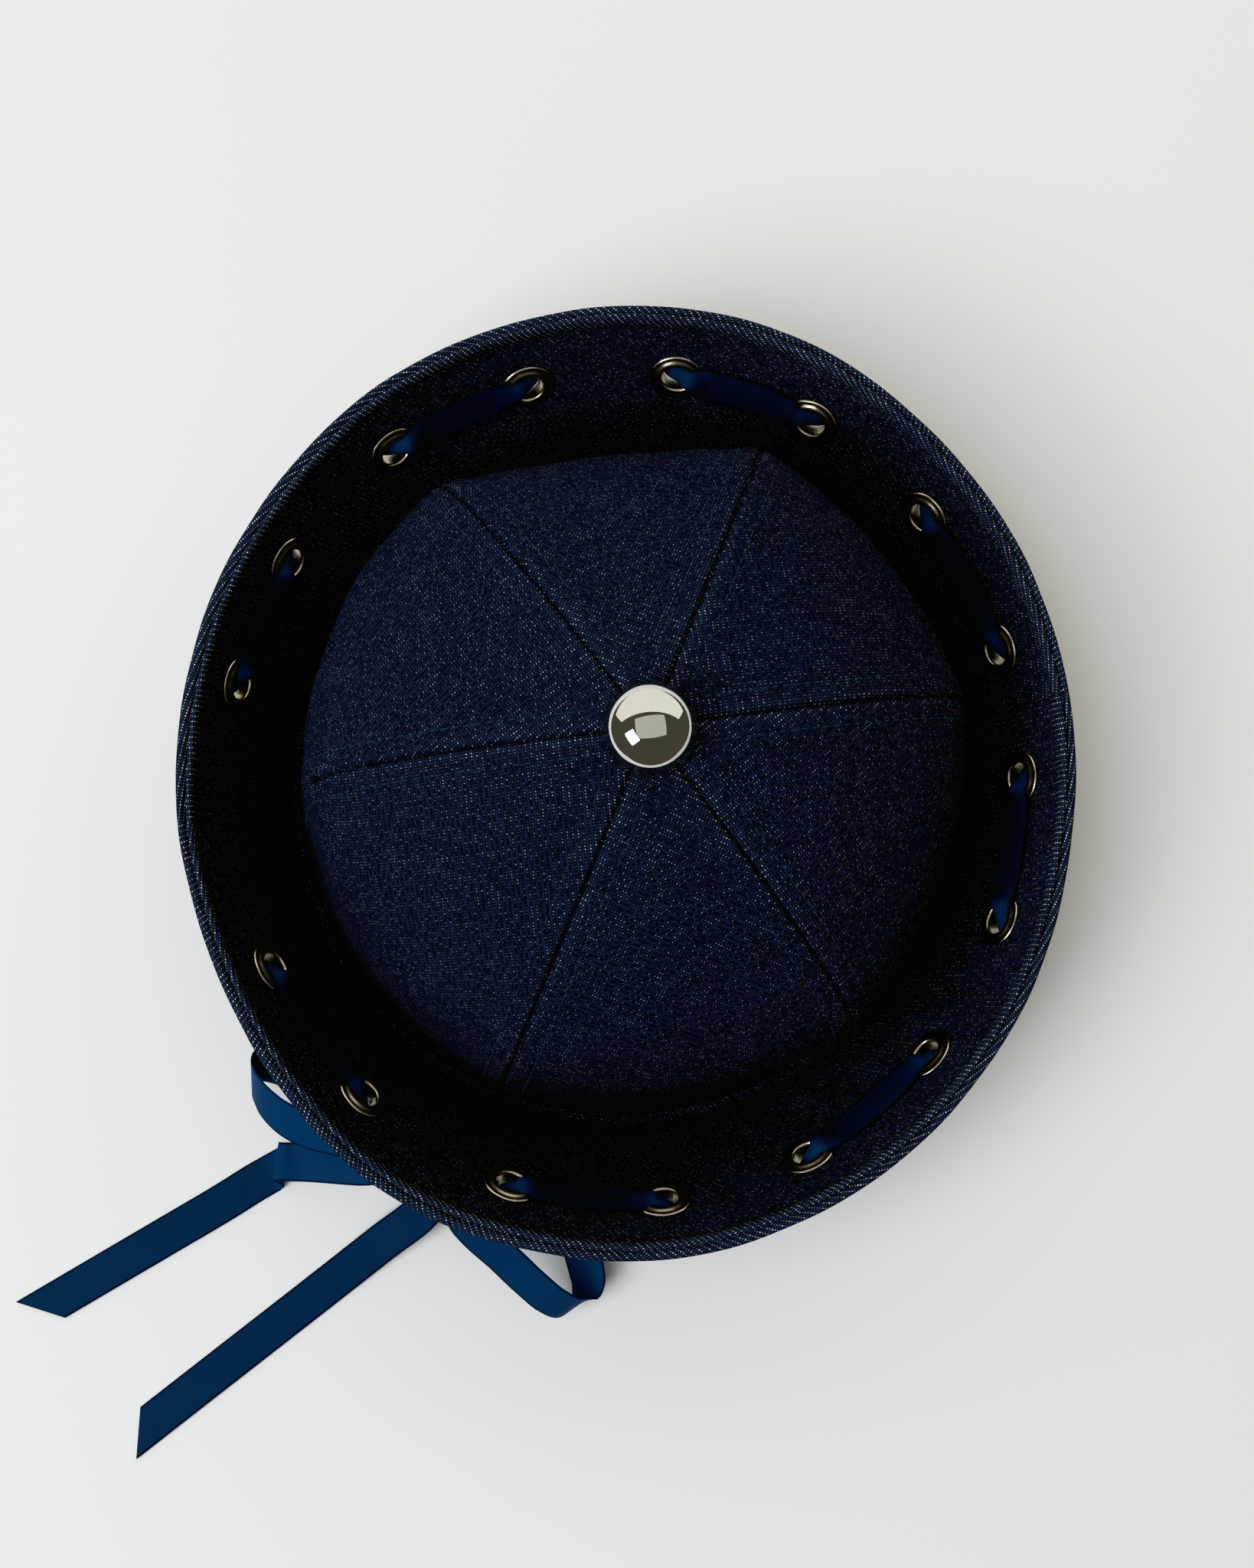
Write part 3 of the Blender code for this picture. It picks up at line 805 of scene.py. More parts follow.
def smooth_rows(rows, spacing):
    """Rows of numbers, the first three a place, followed on a smooth curve at an even spacing."""
    rows = np.array(rows, dtype=float)
    reached = way_along(rows[:, :3])
    slopes = np.gradient(rows, reached, axis=0)
    wanted = np.linspace(0.0, reached[-1], int(ceil(reached[-1] / spacing)) + 1)
    part = np.clip(np.searchsorted(reached, wanted, side="right") - 1, 0, len(reached) - 2)
    width = (reached[part + 1] - reached[part])[:, None]
    share = (wanted - reached[part])[:, None] / width
    start = (2.0 * share**3 - 3.0 * share**2 + 1.0) * rows[part]
    start += (share**3 - 2.0 * share**2 + share) * width * slopes[part]
    end = (3.0 * share**2 - 2.0 * share**3) * rows[part + 1]
    end += (share**3 - share**2) * width * slopes[part + 1]
    return start + end


def unit(vectors):
    """The same ways, each with a length of 1."""
    return vectors / np.maximum(np.linalg.norm(vectors, axis=-1, keepdims=True), 1e-12)


def grid_normals(points):
    """The way that a grid of places faces at each of them."""
    down = np.gradient(points, axis=0)
    side = np.gradient(points, axis=1)
    return unit(np.cross(side, down))


def add_piece(name, mesh, material, slot, *nodes):
    """A piece of the hat, with its material, the body it rides on and the nodes it stands for."""
    piece = new_object(name, mesh)
    if not mesh.materials:
        mesh.materials.append(material)
    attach(piece, "root")
    if nodes:
        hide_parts(*nodes)
    return piece


def quad_mesh(name, points, quads, cloth):
    """A closed mesh of quads whose faces point outward, with cloth coordinates at each corner."""
    corners = points[quads]
    centre = points.mean(axis=0)
    first = corners[:, 2] - corners[:, 0]
    second = corners[:, 3] - corners[:, 1]
    volume = (np.cross(first, second) * (corners.mean(axis=1) - centre)).sum()
    if volume < 0.0:
        quads = quads[:, ::-1]
    used, quads = np.unique(quads, return_inverse=True)
    quads = quads.reshape(-1, 4)
    points = points[used]
    cloth = cloth[used]
    mesh = bpy.data.meshes.new(name)
    mesh.vertices.add(len(points))
    mesh.vertices.foreach_set("co", points.ravel())
    mesh.loops.add(quads.size)
    mesh.loops.foreach_set("vertex_index", quads.ravel())
    mesh.polygons.add(len(quads))
    mesh.polygons.foreach_set("loop_start", np.arange(0, quads.size, 4))
    mesh.update(calc_edges=True)
    place = mesh.attributes.new("cloth_place", "FLOAT_VECTOR", "CORNER")
    place.data.foreach_set("vector", cloth[quads.ravel()].ravel())
    mesh.shade_smooth()
    return mesh


def cloth_mesh(name, front, back, front_cloth, back_cloth, kept=None):
    """A closed cloth between two grids of points; cells that aren't kept are holes through it."""
    rows, columns = front.shape[:2]
    if kept is None:
        kept = np.ones((rows - 1, columns - 1), dtype=bool)
    number = np.arange(rows * columns).reshape(rows, columns)
    i, j = np.nonzero(kept)
    corners = (number[i, j], number[i, j + 1], number[i + 1, j + 1], number[i + 1, j])
    cell = np.stack(corners, axis=1)
    far = rows * columns
    quads = [cell, cell[:, ::-1] + far]
    beside = np.pad(kept, 1)
    neighbours = (
        beside[i, j + 1],
        beside[i + 1, j + 2],
        beside[i + 2, j + 1],
        beside[i + 1, j],
    )
    for side, neighbour in enumerate(neighbours):
        a = cell[~neighbour, side]
        b = cell[~neighbour, (side + 1) % 4]
        quads.append(np.stack([b, a, a + far, b + far], axis=1))
    points = np.concatenate([front.reshape(-1, 3), back.reshape(-1, 3)])
    cloth = np.concatenate([front_cloth.reshape(-1, 3), back_cloth.reshape(-1, 3)])
    return quad_mesh(name, points, np.concatenate(quads), cloth)


def turned(name, outline, sides):
    """A solid turned about Z from a closed outline of (radius, height) points."""
    bm = bmesh.new()
    points = [bm.verts.new((radius, 0.0, height)) for radius, height in outline]
    edges = [bm.edges.new(pair) for pair in zip(points, points[1:] + points[:1])]
    bmesh.ops.spin(
        bm,
        geom=points + edges,
        cent=(0.0, 0.0, 0.0),
        axis=(0.0, 0.0, 1.0),
        dvec=(0.0, 0.0, 0.0),
        angle=tau,
        steps=sides,
        use_merge=True,
    )
    bmesh.ops.remove_doubles(bm, verts=bm.verts, dist=SAME_PLACE)
    loose = [edge for edge in bm.edges if not edge.link_faces]
    bmesh.ops.delete(bm, geom=loose, context="EDGES")
    bmesh.ops.recalc_face_normals(bm, faces=bm.faces)
    mesh = bpy.data.meshes.new(name)
    bm.to_mesh(mesh)
    bm.free()
    mesh.shade_smooth()
    mesh.set_sharp_from_angle(angle=radians(SHARP_TURN))
    return mesh


# The brim's shape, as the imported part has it


def swell(turn, middle, half_width):
    """A bell round the hat, in degrees, that meets itself after a full turn."""
    away = (turn - middle + 180.0) % 360.0 - 180.0
    return bell(away, half_width)


def rim_radius(turn):
    share = 1.0 + RIM_OVAL * np.cos(np.radians(2.0 * (turn - RIM_LONG_TURN)))
    for middle, half_width, push in RIM_SWELLS:
        share = share + push * swell(turn, middle, half_width)
    return RIM_RADIUS * share


def brim_radius(turn, up):
    flare = rim_radius(turn) - BRIM_BASE_RADIUS
    drawn_in = TIE_DEPTH * swell(turn, TIE_TURN, TIE_HALF_WIDTH) * np.sin(pi * up) ** 2
    return BRIM_BASE_RADIUS + flare * table_value(BRIM_SECTIONS, up) - drawn_in


def around(turn, radius, height):
    """Places at a turn, radius and height, each a number or a grid."""
    angle = np.radians(turn)
    return stacked(radius * np.cos(angle), radius * np.sin(angle), height)


def brim_point(turn, up):
    return around(turn, brim_radius(turn, up), up * BRIM_HEIGHT)


def brim_place(turn, up, lift=0.0):
    """A place on the middle of the brim's cloth, lifted to the inside, with its axes."""
    left = brim_point(turn - TURN_STEP, up)
    right = brim_point(turn + TURN_STEP, up)
    below = brim_point(turn, up - UP_STEP)
    above = brim_point(turn, up + UP_STEP)
    way = unit(right - left)
    inward = unit(np.cross(above - below, way))
    slope = unit(np.cross(way, inward))
    return brim_point(turn, up) + inward * (BRIM_CLOTH / 2.0 + lift), way, slope, inward


# Ribbon


def ribbon_mesh(name, stations, spacing, slant=0.0):
    """A satin ribbon through stations of place, direction across, width share, painted light and
    crease.

    Where crease is 1 the ribbon bends along the given direction across, and elsewhere square
    to its way. A slant cuts its last end at an angle.
    """
    rows = smooth_rows(stations, spacing)
    place = rows[:, :3]
    across = unit(rows[:, 3:6])
    way = unit(np.gradient(place, axis=0))
    face = unit(np.cross(way, across))
    crease = np.clip(rows[:, 8:9], 0.0, 1.0)
    across = unit(across * crease + np.cross(face, way) * (1.0 - crease))
    skew = np.linalg.norm(np.cross(way, across), axis=1)[:, None]
    angle = np.maximum(table_value(RIBBON_CURL, rows[:, 6]), LEAST_CURL)[:, None]
    share = np.linspace(-1.0, 1.0, RIBBON_COLUMNS + 1)[None, :]
    bend = RIBBON_WIDTH / (2.0 * angle)
    out = bend * np.sin(angle * share) / np.maximum(skew, LEAST_SKEW)
    lift = bend * (np.sin(angle) / angle - np.cos(angle * share))
    from_end = np.arange(len(rows))[::-1] * spacing
    end = (1.0 - ramp(from_end, 0.0, SLANT_REACH))[:, None] * share * slant / 2.0
    middle = place[:, None] + across[:, None] * out[..., None] + face[:, None] * lift[..., None]
    middle = middle + way[:, None] * end[..., None]
    half = grid_normals(middle) * SATIN_THICKNESS / 2.0
    cloth = stacked(way_along(place)[:, None] + end, share, rows[:, 7:8])
    return cloth_mesh(name, middle + half, middle - half, cloth, cloth), place


def lacing_turns():
    """The eyelets in the order that the ribbon takes, from the knot right round the brim."""
    order = FRONT_EYELETS[2:] + BACK_EYELETS + FRONT_EYELETS[:2]
    turns = [order[0]]
    for turn in order[1:]:
        turns.append(turns[-1] + (turn - turns[-1]) % 360.0)
    return turns


def degrees_round(length, turn):
    """The degrees that a length takes round the brim, at the height of the eyelets."""
    return degrees(length / float(brim_radius(turn, EYELET_UP)))


def lacing_stations():
    """The ribbon's stations from the knot, in and out through every eyelet, back to the knot."""
    stations = []

    def add(turn, lift, width, lit_share, tilt=0.0):
        centre, _, slope, inward = brim_place(turn, EYELET_UP, lift * RIBBON_STANDOFF)
        across = slope * cos(tilt) + inward * sin(tilt)
        stations.append((*centre, *across, width, lit_share, 0.0))

    turns = lacing_turns()
    knot_side = degrees_round(KNOT_LENGTH / 2.0 + GAP * 2.0, KNOT_TURN)
    run_start = degrees_round(EYELET_RADIUS, KNOT_TURN) * RUN_START
    side = -1.0
    add(KNOT_TURN + knot_side, side * KNOT_LIFT, KNOT_WIDTH, FLAT_LIT_SHARE)
    for i, turn in enumerate(turns):
        for way, lift, width in THREADING:
            depth = side * lift
            # Painted light outside the brim and in the eyelets; painted shade on the runs inside
            lit_share = FLAT_LIT_SHARE if depth < 0.0 or abs(way) < HOLE_LIT_REACH else INSIDE_LIT_SHARE
            add(turn + degrees_round(way * EYELET_RADIUS, turn), depth, width, lit_share)
        side = -side
        if i + 1 < len(turns):
            first = turn + run_start
            last = turns[i + 1] - run_start
            steps = max(ceil((last - first) / RUN_STEP), 2)
            # Painted shade on runs inside the brim, painted light on runs outside
            lit_share = INSIDE_LIT_SHARE if side > 0.0 else FLAT_LIT_SHARE
            for step in range(1, steps):
                tilt = RUN_TILT * sin(1.7 * i + 2.0 * step)
                add(first + (last - first) * step / steps, side * RUN_LIFT, 1.0, lit_share, tilt)
    add(KNOT_TURN + 360.0 - knot_side, side * KNOT_LIFT, KNOT_WIDTH, FLAT_LIT_SHARE)
    return stations


def tail_stations(points, fold=(), fold_place=0):
    """A tail's stations; a fold takes the place of one point, and up to it the satin has more painted
    light.
    """
    stations = []
    for i, (x, y, z, bearing, width) in enumerate(points):
        lit_share = LOOP_LIT_SHARE if i < fold_place else FLAT_LIT_SHARE
        stations.append((x, y, z, *direction(bearing), width, lit_share, 0.0))
    if fold:
        creased = [(x, y, z, *direction(bearing), 1.0, LOOP_LIT_SHARE, 1.0) for x, y, z, bearing in fold]
        stations[fold_place:fold_place + 1] = creased
    return stations


def loop_stations(points, bearing, first_rise, last_rise):
    """A loop's stations, with its width along one bearing that tips over on the way round."""
    stations = []
    for i, (x, y, z, width) in enumerate(points):
        rise = first_rise + (last_rise - first_rise) * i / (len(points) - 1)
        # Loops have the most painted light
        stations.append((x, y, z, *direction(bearing, rise), width, LOOP_LIT_SHARE, 0.0))
    return stations


def knot_mesh():
    """The ribbon wrapped round the middle of the bow, creased along its wrap."""
    turns = np.linspace(0.0, tau, KNOT_SIDES, endpoint=False)[None, :]
    along = np.linspace(0.0, pi, KNOT_RINGS)[:, None]
    way = -np.cos(along) * np.ones_like(turns)
    creases = KNOT_CREASE * np.sin(way * 11.0 + 0.7 * np.sin(turns))
    folds = KNOT_FOLD * np.sin(2.0 * turns + 4.0 * way)
    girth = np.sin(along) ** KNOT_FULLNESS * (1.0 + creases + folds)
    slope = girth * np.cos(turns)
    depth = girth * np.sin(turns)
    lift = -(BRIM_CLOTH / 2.0 + GAP * 2.0 + KNOT_DEPTH / 2.0)
    centre, way_axis, slope_axis, inward = brim_place(KNOT_TURN, KNOT_UP, lift)
    points = centre + way[..., None] * way_axis * KNOT_LENGTH / 2.0
    points = points + slope[..., None] * slope_axis * KNOT_TALL / 2.0
    points = points + depth[..., None] * inward * KNOT_DEPTH / 2.0
    number = np.arange(KNOT_RINGS * KNOT_SIDES).reshape(KNOT_RINGS, KNOT_SIDES)
    after = np.roll(number, -1, axis=1)
    quads = np.stack([number[:-1], after[:-1], after[1:], number[1:]], axis=-1).reshape(-1, 4)
    # The knot has the loops' painted light
    cloth = stacked(turns * KNOT_TALL / 2.0, way * KNOT_SHOWN, LOOP_LIT_SHARE)
    return quad_mesh("bow_knot_wrap", points.reshape(-1, 3), quads, cloth.reshape(-1, 3))


def make_bow(satin):
    """The bow outside the brim: the two tails, the two loops and the knot that holds them."""
    knot = add_piece("bow_knot_wrap", knot_mesh(), satin, "ribbon", "bow_knot")
    left_tail = tail_stations(LEFT_TAIL, LEFT_FOLD, LEFT_FOLD_PLACE)
    right_tail = tail_stations(RIGHT_TAIL)
    left_loop = loop_stations(LEFT_LOOP, *LEFT_LOOP_WIDTH)
    right_loop = loop_stations(RIGHT_LOOP, *RIGHT_LOOP_WIDTH)
    cords = (
        ("tail_left", left_tail, LEFT_TAIL_SLANT, FOLD_SPACING, "bow_tail_left", "bare"),
        ("tail_right", right_tail, RIGHT_TAIL_SLANT, RIBBON_SPACING, "bow_tail_right", "bare"),
        ("loop_left", left_loop, 0.0, RIBBON_SPACING, "bow_loop_left", "object"),
        ("loop_right", right_loop, 0.0, RIBBON_SPACING, "bow_loop_right", "object"),
    )
    for name, stations, slant, spacing, node, far_end in cords:
        mesh, path = ribbon_mesh(name, stations, spacing, slant=slant)
        piece = add_piece(name, mesh, satin, "ribbon", node)


def make_lacing(satin):
    mesh, _ = ribbon_mesh("lacing", lacing_stations(), RIBBON_SPACING)
    add_piece("lacing", mesh, satin, "ribbon", "ribbon_lacing")


# Crown


def crown_rows():
    """Reach, height and seam shape down the crown's section, and how far down each row is."""
    tall = CROWN_HEIGHT - CROWN_FOOT
    rows = [(HEAD_RADIUS * out, 0.0, tall * up, out, up, shape) for out, up, shape in CROWN_SECTIONS]
    rows = smooth_rows(rows, CROWN_SPACING)
    return rows[:, 3], rows[:, 4], rows[:, 5], way_along(rows[:, :3])


def crown_columns(width):
    """Places across a panel at each row, kept at the same distances from its two seams."""
    narrowed = np.minimum(width / 2.0 / SEAM_NARROW, 1.0)[:, None]
    edge = np.array(SEAM_COLUMNS)[None, :] * narrowed
    inner = np.linspace(0.0, 1.0, SEAM_MIDDLE_COLUMNS + 2)[1:-1][None, :]
    left = edge[:, -1:]
    right = width[:, None] - left
    middle = left + (right - left) * inner
    return np.concatenate([edge, middle, width[:, None] - edge[:, ::-1]], axis=1)


def crown_relief(panel, from_seam, across, down):
    """How far the sewn cloth stands in or out from its plain shape."""
    relief = ridge(from_seam, *SEAM_VALLEY)
    flat = 1.0 - ramp(from_seam, *FELL_END)
    relief += FELL_HEIGHT * flat * flat * (3.0 - 2.0 * flat) * (1.0 - bell(from_seam, FELL_START))
    relief += ridge(from_seam, *STITCH_VALLEY)
    pucker = np.sin(down * tau / LONG_PUCKER + panel)
    pucker += 0.6 * np.sin(down * tau / SHORT_PUCKER + 2.0 * panel)
    relief += ridge(from_seam, *PUCKERS) * pucker
    waves = np.sin(across / BROAD_WAVE[0] + down / BROAD_WAVE[1] + panel)
    waves *= np.sin(down / CROSS_WAVE + 1.3 * panel)
    waves += 0.6 * np.sin(across / FINE_WAVE[0] - down / FINE_WAVE[1] + 2.1 * panel)
    relief += CROWN_WAVE_HEIGHT * waves * ramp(from_seam, 0.0, CROWN_WAVE_RISE)
    return relief


def crown_cloth(out, down, width, across, from_seam):
    """Wefts, warps and wear over a gore, laid out flat as a fan that opens from its tip."""
    flare = np.maximum(np.gradient(HEAD_RADIUS * out, down), LEAST_FLARE)[:, None]
    fan = HEAD_RADIUS * out[:, None] / flare
    slant = (across - width[:, None] / 2.0) / fan
    down = down[:, None]
    wefts = fan * np.sin(slant) / WEFT_SPACE
    warps = (down - fan * (1.0 - np.cos(slant))) / WARP_SPACE
    wear_and_shade = ridge(from_seam, *SEAM_WEAR)
    wear_and_shade += ridge(from_seam, *TOP_WEAR) * bell(down, TOP_WEAR_DOWN)
    # Darker, with duller dots, down the sides
    wear_and_shade -= SIDE_DARKENING * ramp(down, *SIDE_DARKENING_FROM)
    return stacked(wefts, warps, wear_and_shade)


def crown_panel(panel):
    """One gore, with the place of its two rows of stitches."""
    turn, reach = SEAMS[panel]
    next_turn, next_reach = SEAMS[(panel + 1) % len(SEAMS)]
    sweep = (next_turn - turn) % 360.0
    out, up, shape, down = crown_rows()
    width = HEAD_RADIUS * out * radians(sweep)
    across = crown_columns(width)
    share = across / width[:, None]
    reach = reach + (next_reach - reach) * share
    reach = reach * (1.0 - PANEL_FLATS[panel] * 4.0 * share * (1.0 - share))
    radius = HEAD_RADIUS * out[:, None] * (1.0 + (reach - 1.0) * shape[:, None])
    height = (CROWN_FOOT + (CROWN_HEIGHT - CROWN_FOOT) * up)[:, None]
    plain = around(turn + sweep * share, radius, height)
    plain = plain + up[:, None, None] * np.array([*CROWN_LEAN, 0.0])
    normals = grid_normals(plain)
    if (normals[:, :, 2] * up[:, None]).sum() < 0.0:
        normals = -normals
    from_seam = np.minimum(across, width[:, None] - across)
    relief = crown_relief(panel, from_seam, across, down[:, None])
    front = plain + normals * relief[..., None]
    back = plain - normals * CROWN_CLOTH
    cloth = crown_cloth(out, down, width, across, from_seam)
    mesh = cloth_mesh(f"crown_gore_{panel + 1}", front, back, cloth, cloth)
    column = SEAM_COLUMNS.index(STITCH_FROM_SEAM)
    rows = [(front[:, side], normals[:, side]) for side in (column, -1 - column)]
    return mesh, rows


def stitch_form():
    """One stitch lying along X, thick in its middle and sunk at both ends."""
    points = []
    for along, thick, lift in STITCH_SECTIONS:
        for side in range(STITCH_SIDES):
            angle = tau * side / STITCH_SIDES
            out = thick * STITCH_RADIUS * cos(angle)
            up = STITCH_RADIUS * (lift + thick * sin(angle))
            points.append((along * STITCH_LENGTH, out, up))
    last = len(points) - STITCH_SIDES
    quads = []
    for start in range(0, last, STITCH_SIDES):
        for side in range(STITCH_SIDES):
            a = start + side
            b = start + (side + 1) % STITCH_SIDES
            quads.append((a, b, b + STITCH_SIDES, a + STITCH_SIDES))
    quads += [(3, 2, 1, 0), (0, 5, 4, 3)]
    quads += [(last, last + 1, last + 2, last + 3), (last + 3, last + 4, last + 5, last)]
    return np.array(points), np.array(quads)


def stitch_mesh(name, lines):
    """Rows of stitches along lines of places and normals."""
    form, form_quads = stitch_form()
    points = []
    quads = []
    for places, normals in lines:
        rows = smooth_rows(np.concatenate([places, normals], axis=1), STITCH_SPACE)
        way = unit(np.gradient(rows[:, :3], axis=0))
        up = unit(rows[:, 3:6])
        side = unit(np.cross(up, way))
        for place, x, y, z in zip(rows[1:-1, :3], way[1:-1], side[1:-1], up[1:-1]):
            quads.append(form_quads + len(points) * len(form))
            points.append(place + form @ np.stack([x, y, z]))
    points = np.concatenate(points)
    return quad_mesh(name, points, np.concatenate(quads), np.zeros_like(points))


def make_crown(denim, thread):
    lines = []
    for panel in range(len(SEAMS)):
        mesh, rows = crown_panel(panel)
        add_piece(mesh.name, mesh, denim, "denim", f"crown_panel_{panel + 1}")
        for places, normals in rows:
            from_middle = np.hypot(*(places[:, :2] - CROWN_LEAN).T)
            sewn = (from_middle > STITCHES_FROM) & (places[:, 2] > STITCHES_ABOVE)
            lines.append((places[sewn], normals[sewn]))
    add_piece("crown_stitches", stitch_mesh("crown_stitches", lines), thread, "denim")


# Brim


def roll_radius(turn):
    return table_value(OUTER_ROLL, turn % 360.0) * ROLL_SHARE


def rim_stray(turn):
    """The small unevenness of the rim, the same at either end of a full turn."""
    angle = np.radians(turn)
    return sum(share * np.sin(waves * angle + start) for waves, start, share in RIM_STRAY)


def brim_walls(turn, lean):
    """The brim's outer and inner face between the hem and the roll, as radius and height."""
    top = 1.0 - ROLL_REACH * np.cos(lean).mean() / BRIM_HEIGHT
    ups = np.linspace(HEM_FOLD / BRIM_HEIGHT, top, BRIM_ROWS)[:, None]
    radius = brim_radius(turn[None, :], ups)
    height = np.broadcast_to(ups * BRIM_HEIGHT, radius.shape)
    rise = np.gradient(height, axis=0)
    spread = np.gradient(radius, axis=0)
    length = np.hypot(rise, spread)
    inner_radius = radius - rise / length * BRIM_CLOTH
    inner_height = height + spread / length * BRIM_CLOTH
    return (radius, height), (inner_radius, inner_height)


def rim_rolls(turn):
    """The rolled rim's outer and inner face, as rows of how far down and how far in they are.

    The outer cloth rolls over the rim into a groove, and the inner cloth folds down beside it.
    """
    roll = roll_radius(turn)
    groove = roll * 2.0 + RIM_GROOVE
    crest = np.maximum(LEAST_CREST, groove + RIM_INNER_ROLL)
    fold = (crest - groove) / 2.0
    hump = crest - BRIM_CLOTH
    outer = [(down, 0.0) for down in ROLL_ROWS]
    for angle in np.radians(ROLL_ANGLES):
        outer.append((roll - roll * sin(angle), roll - roll * cos(angle)))
    outer.append((roll + ROLL_TUCK[0], roll * 2.0 + ROLL_TUCK[1]))
    outer.append((GROOVE_DEPTH, groove))
    inner = [(down, BRIM_CLOTH + hump * share) for down, share in INNER_SWELL]
    for angle in np.radians(FOLD_ANGLES):
        inner.append((FOLD_DROP + fold - fold * cos(angle), groove + fold + fold * sin(angle)))
    inner.append((GROOVE_DEPTH, groove + FOLD_TUCK))
    return outer, inner


def brim_faces(turn):
    """The brim's two faces, as grids of radius, height and the way down from the rim."""
    flare = brim_radius(turn, 1.0) - brim_radius(turn, 1.0 - LEAN_SHARE)
    lean = np.arctan2(flare, LEAN_SHARE * BRIM_HEIGHT)
    edge = brim_radius(turn, 1.0) + ROLL_OVERHANG * roll_radius(turn)
    all_round = np.zeros_like(turn)
    faces = []
    for hem, wall, rolls in zip((OUTER_HEM, INNER_HEM), brim_walls(turn, lean), rim_rolls(turn)):
        hem_out, hem_up = np.array(hem).T[:, :, None]
        hem_radius = BRIM_BASE_RADIUS + hem_out + all_round
        hem_height = hem_up + all_round
        down, inward = (np.stack([row + all_round for row in part]) for part in zip(*rolls))
        roll_out = edge - down * np.sin(lean) - inward * np.cos(lean)
        roll_up = BRIM_HEIGHT - down * np.cos(lean) + inward * np.sin(lean)
        radius = np.concatenate([hem_radius, wall[0], roll_out])
        height = np.concatenate([hem_height, wall[1], roll_up])
        steps = np.hypot(np.diff(radius, axis=0), np.diff(height, axis=0))
        from_hem = np.concatenate([np.zeros((1, len(turn))), np.cumsum(steps, axis=0)])
        faces.append((radius, height, from_hem[-1:] - from_hem))
    return faces


def brim_relief(turn, points, down, from_seam, centres):
    """How far the sewn cloth stands out: at the side seams, round the eyelets and in its waves."""
    relief = ridge(from_seam, *SIDE_SEAM_VALLEY) + ridge(from_seam, *SIDE_SEAM_RIDGE)
    relief *= ramp(down, *SIDE_SEAM_FROM)
    for centre in centres:
        relief += ridge(np.linalg.norm(points - centre, axis=-1), *EYELET_VALLEY)
    waves = np.sin(np.radians(turn)[None, :] * BRIM_WAVES + down / BRIM_WAVE_SLANT)
    relief += BRIM_WAVE_HEIGHT * waves * ramp(down, 0.0, BRIM_WAVE_RISE)
    return relief


def sewn_face(turn, face, from_seam, centres, side):
    """One face of the brim with its unevenness and relief; side is 1 outside and -1 inside."""
    radius, height, down = face
    high = np.clip(height / BRIM_HEIGHT, 0.0, 1.0) ** 2
    radius = radius + STRAY_OUT * rim_stray(turn)[None, :] * high
    height = height + STRAY_UP * high * rim_stray(turn + STRAY_TURN)[None, :]
    points = around(turn[None, :], radius, height)
    normals = grid_normals(points)
    outward = 1.0 if (normals * (points - BRIM_CENTRE)).sum() > 0.0 else -1.0
    relief = brim_relief(turn, points, down, from_seam, centres)
    sewn = points + normals * outward * side * relief[..., None]
    sewn[..., 2] = np.maximum(sewn[..., 2], 0.0)
    return sewn


def brim_cloth(turn, middle, down, outside):
    """Wefts, warps, wear and painted shade over one face of a brim half, laid out flat as part of a
    ring.
    """
    warp_turn, rim_wear, wall_shade = OUTSIDE_CLOTH if outside else INSIDE_CLOTH
    slant = BRIM_DEVELOP * np.radians(turn - middle)[None, :]
    ring = rim_radius(turn)[None, :] / BRIM_DEVELOP - down
    across, away = ring * np.sin(slant), ring * np.cos(slant)
    x, y = (across, away) if outside else (away, across)
    warp = radians(warp_turn)
    weft = warp - pi / 2.0
    wefts = (x * cos(warp) + y * sin(warp)) / WEFT_SPACE
    warps = (x * cos(weft) + y * sin(weft)) / WARP_SPACE
    # Wear near the rim, plus the face's painted shade all over
    wear_and_shade = ridge(down, *rim_wear) + wall_shade
    return stacked(wefts, warps, wear_and_shade)


def brim_half(name, first, last, middle, eyelets):
    """One half of the brim, from seam to seam, with a hole for each of its eyelets."""
    turn = np.linspace(first, last, BRIM_COLUMNS + 1)
    outer, inner = brim_faces(turn)
    from_seam = np.radians(np.minimum(turn - first, last - turn))[None, :] * outer[0]
    centres = [brim_place(eyelet, EYELET_UP)[0] for eyelet in eyelets]
    front = sewn_face(turn, outer, from_seam, centres, 1.0)
    back = sewn_face(turn, inner, from_seam, centres, -1.0)
    front_cloth = brim_cloth(turn, middle, outer[2], True)
    back_cloth = brim_cloth(turn, middle, inner[2], False)
    between = (front + back) / 2.0
    cells = (between[:-1, :-1] + between[1:, 1:]) / 2.0
    kept = np.ones(cells.shape[:2], dtype=bool)
    for centre in centres:
        kept &= np.linalg.norm(cells - centre, axis=-1) > EYELET_HOLE
    return cloth_mesh(name, front, back, front_cloth, back_cloth, kept)


def make_brim(denim):
    front = brim_half("brim_front_cloth", LEFT_SEAM, RIGHT_SEAM + 360.0, FRONT_MIDDLE, FRONT_EYELETS)
    back = brim_half("brim_back_cloth", RIGHT_SEAM, LEFT_SEAM, BACK_MIDDLE, BACK_EYELETS)
    add_piece(front.name, front, denim, "denim", "brim_front")
    add_piece(back.name, back, denim, "denim", "brim_back")


# Eyelets and button


def eyelet_mesh():
    """A two-part eyelet: a ridged ring with a rolled lip inside, and a flatter one outside."""
    seat = BRIM_CLOTH / 2.0 + EYELET_CLEARANCE
    outline = [(radius, seat + height) for radius, height in EYELET_INSIDE]
    outline += [(radius, -seat - height) for radius, height in EYELET_OUTSIDE]
    outline += [(EYELET_BARREL, -seat), (EYELET_BARREL, seat)]
    return turned("eyelet_form", outline, EYELET_SIDES)


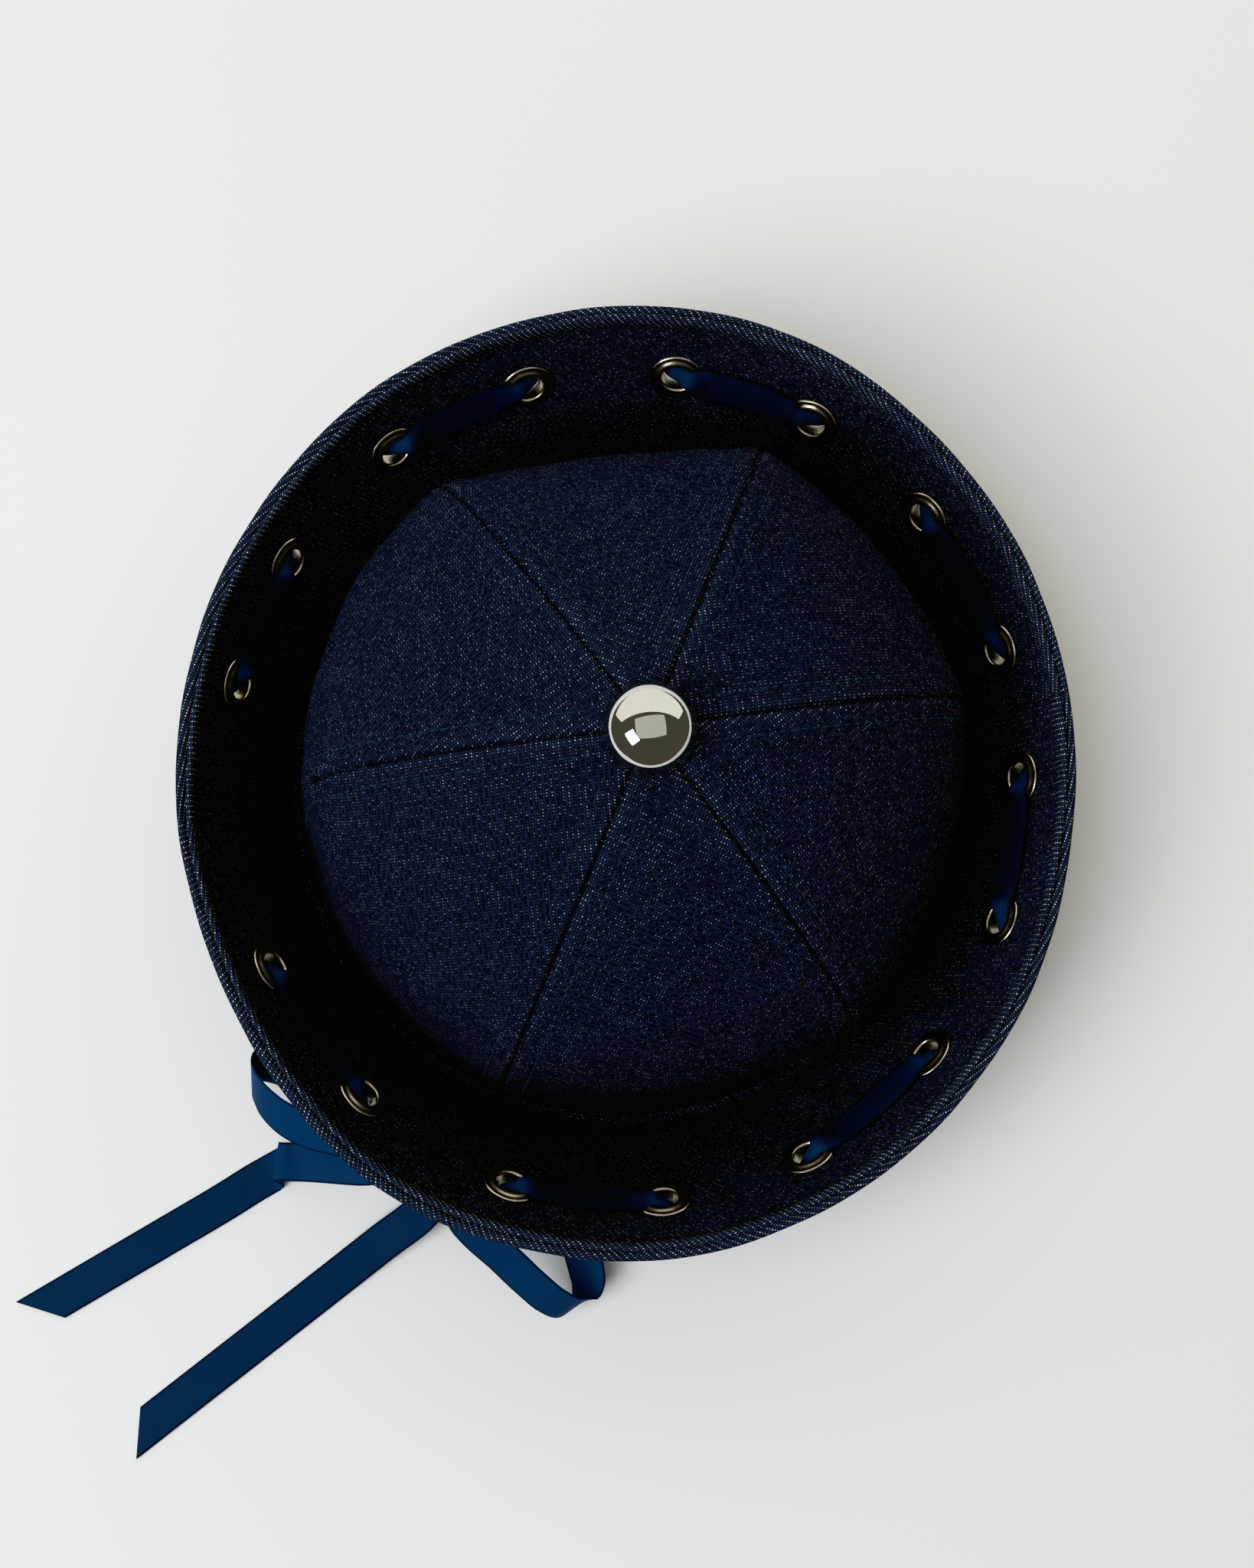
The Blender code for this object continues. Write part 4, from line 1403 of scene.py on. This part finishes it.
def make_eyelets(nickel):
    mesh = eyelet_mesh()
    for number, turn in enumerate(lacing_turns(), start=1):
        name = f"eyelet_ring_{number:02d}"
        piece = add_piece(name, mesh, nickel, "eyelet_nickel", f"eyelet_{number:02d}")
        centre, way, slope, inward = brim_place(turn, EYELET_UP)
        piece.matrix_world = placed(centre, -way, slope, inward)


def dome_mesh():
    """The polished half ball, with its shank and washer."""
    outline = []
    for step in range(DOME_STEPS + 1):
        angle = pi / 2.0 * step / DOME_STEPS
        outline.append((DOME_RADIUS * sin(angle), DOME_RADIUS * cos(angle)))
    washer_top = -GAP - CROWN_CLOTH - GAP
    outline += [
        (SHANK_RADIUS, 0.0),
        (SHANK_RADIUS, washer_top),
        (WASHER_RADIUS, washer_top),
        (WASHER_RADIUS, washer_top - WASHER_THICKNESS),
        (0.0, washer_top - WASHER_THICKNESS),
    ]
    return turned("dome_form", outline, DOME_SIDES)


def make_button(chrome):
    piece = add_piece("dome", dome_mesh(), chrome, "dome_chrome", "dome_stud")
    piece.location = (*CROWN_LEAN, CROWN_HEIGHT + GAP)


# Studio


def add_light(name, turn, elevation, distance, size, brightness, colour, mirrored):
    """A soft rectangular light aimed at the hat; its power goes with its size and brightness."""
    data = bpy.data.lights.new(name, "AREA")
    data.shape = "RECTANGLE"
    data.size, data.size_y = size
    data.energy = pi * size[0] * size[1] * brightness
    data.color = colour
    light = new_object(name, data)
    place = Vector(direction(turn, elevation)) * distance
    light.location = place
    light.rotation_euler = place.to_track_quat("Z", "Y").to_euler()
    light.visible_glossy = mirrored


def make_studio(floor):
    mesh = bpy.data.meshes.new("floor")
    left, right, front, back = -FLOOR_SIDE, FLOOR_SIDE, -FLOOR_SIDE, FLOOR_BACK
    corners = [(left, front, 0.0), (right, front, 0.0), (right, back, 0.0), (left, back, 0.0)]
    mesh.from_pydata(corners, [], [(0, 1, 2, 3)])
    mesh.materials.append(floor)
    ground = new_object("floor", mesh)
    world = bpy.data.worlds.new("studio")
    world.use_nodes = True
    background = world.node_tree.nodes["Background"]
    background.inputs["Color"].default_value = ROOM_COLOUR
    background.inputs["Strength"].default_value = ROOM_STRENGTH
    bpy.context.scene.world = world
    for light in LIGHTS:
        add_light(*light)


def set_tones():
    """Deep blacks and softly ending whites, as a camera makes them."""
    view = bpy.context.scene.view_settings
    view.view_transform = "Standard"
    view.use_curve_mapping = True
    tones = view.curve_mapping
    tones.extend = "HORIZONTAL"
    tones.black_level = BLACK_LEVEL
    combined = tones.curves[3]
    combined.points[0].location = TONE_CURVE[0]
    combined.points[1].location = TONE_CURVE[-1]
    for light_in, tone_out in TONE_CURVE[1:-1]:
        combined.points.new(light_in, tone_out)
    for point in combined.points:
        point.handle_type = "AUTO_CLAMPED"
    tones.update()


make_camera()
satin = ribbon_look()
denim = denim_look()
make_bow(satin)
make_lacing(satin)
make_crown(denim, thread_look())
make_brim(denim)
make_eyelets(nickel_look())
make_button(chrome_look())
make_studio(floor_look())
set_tones()
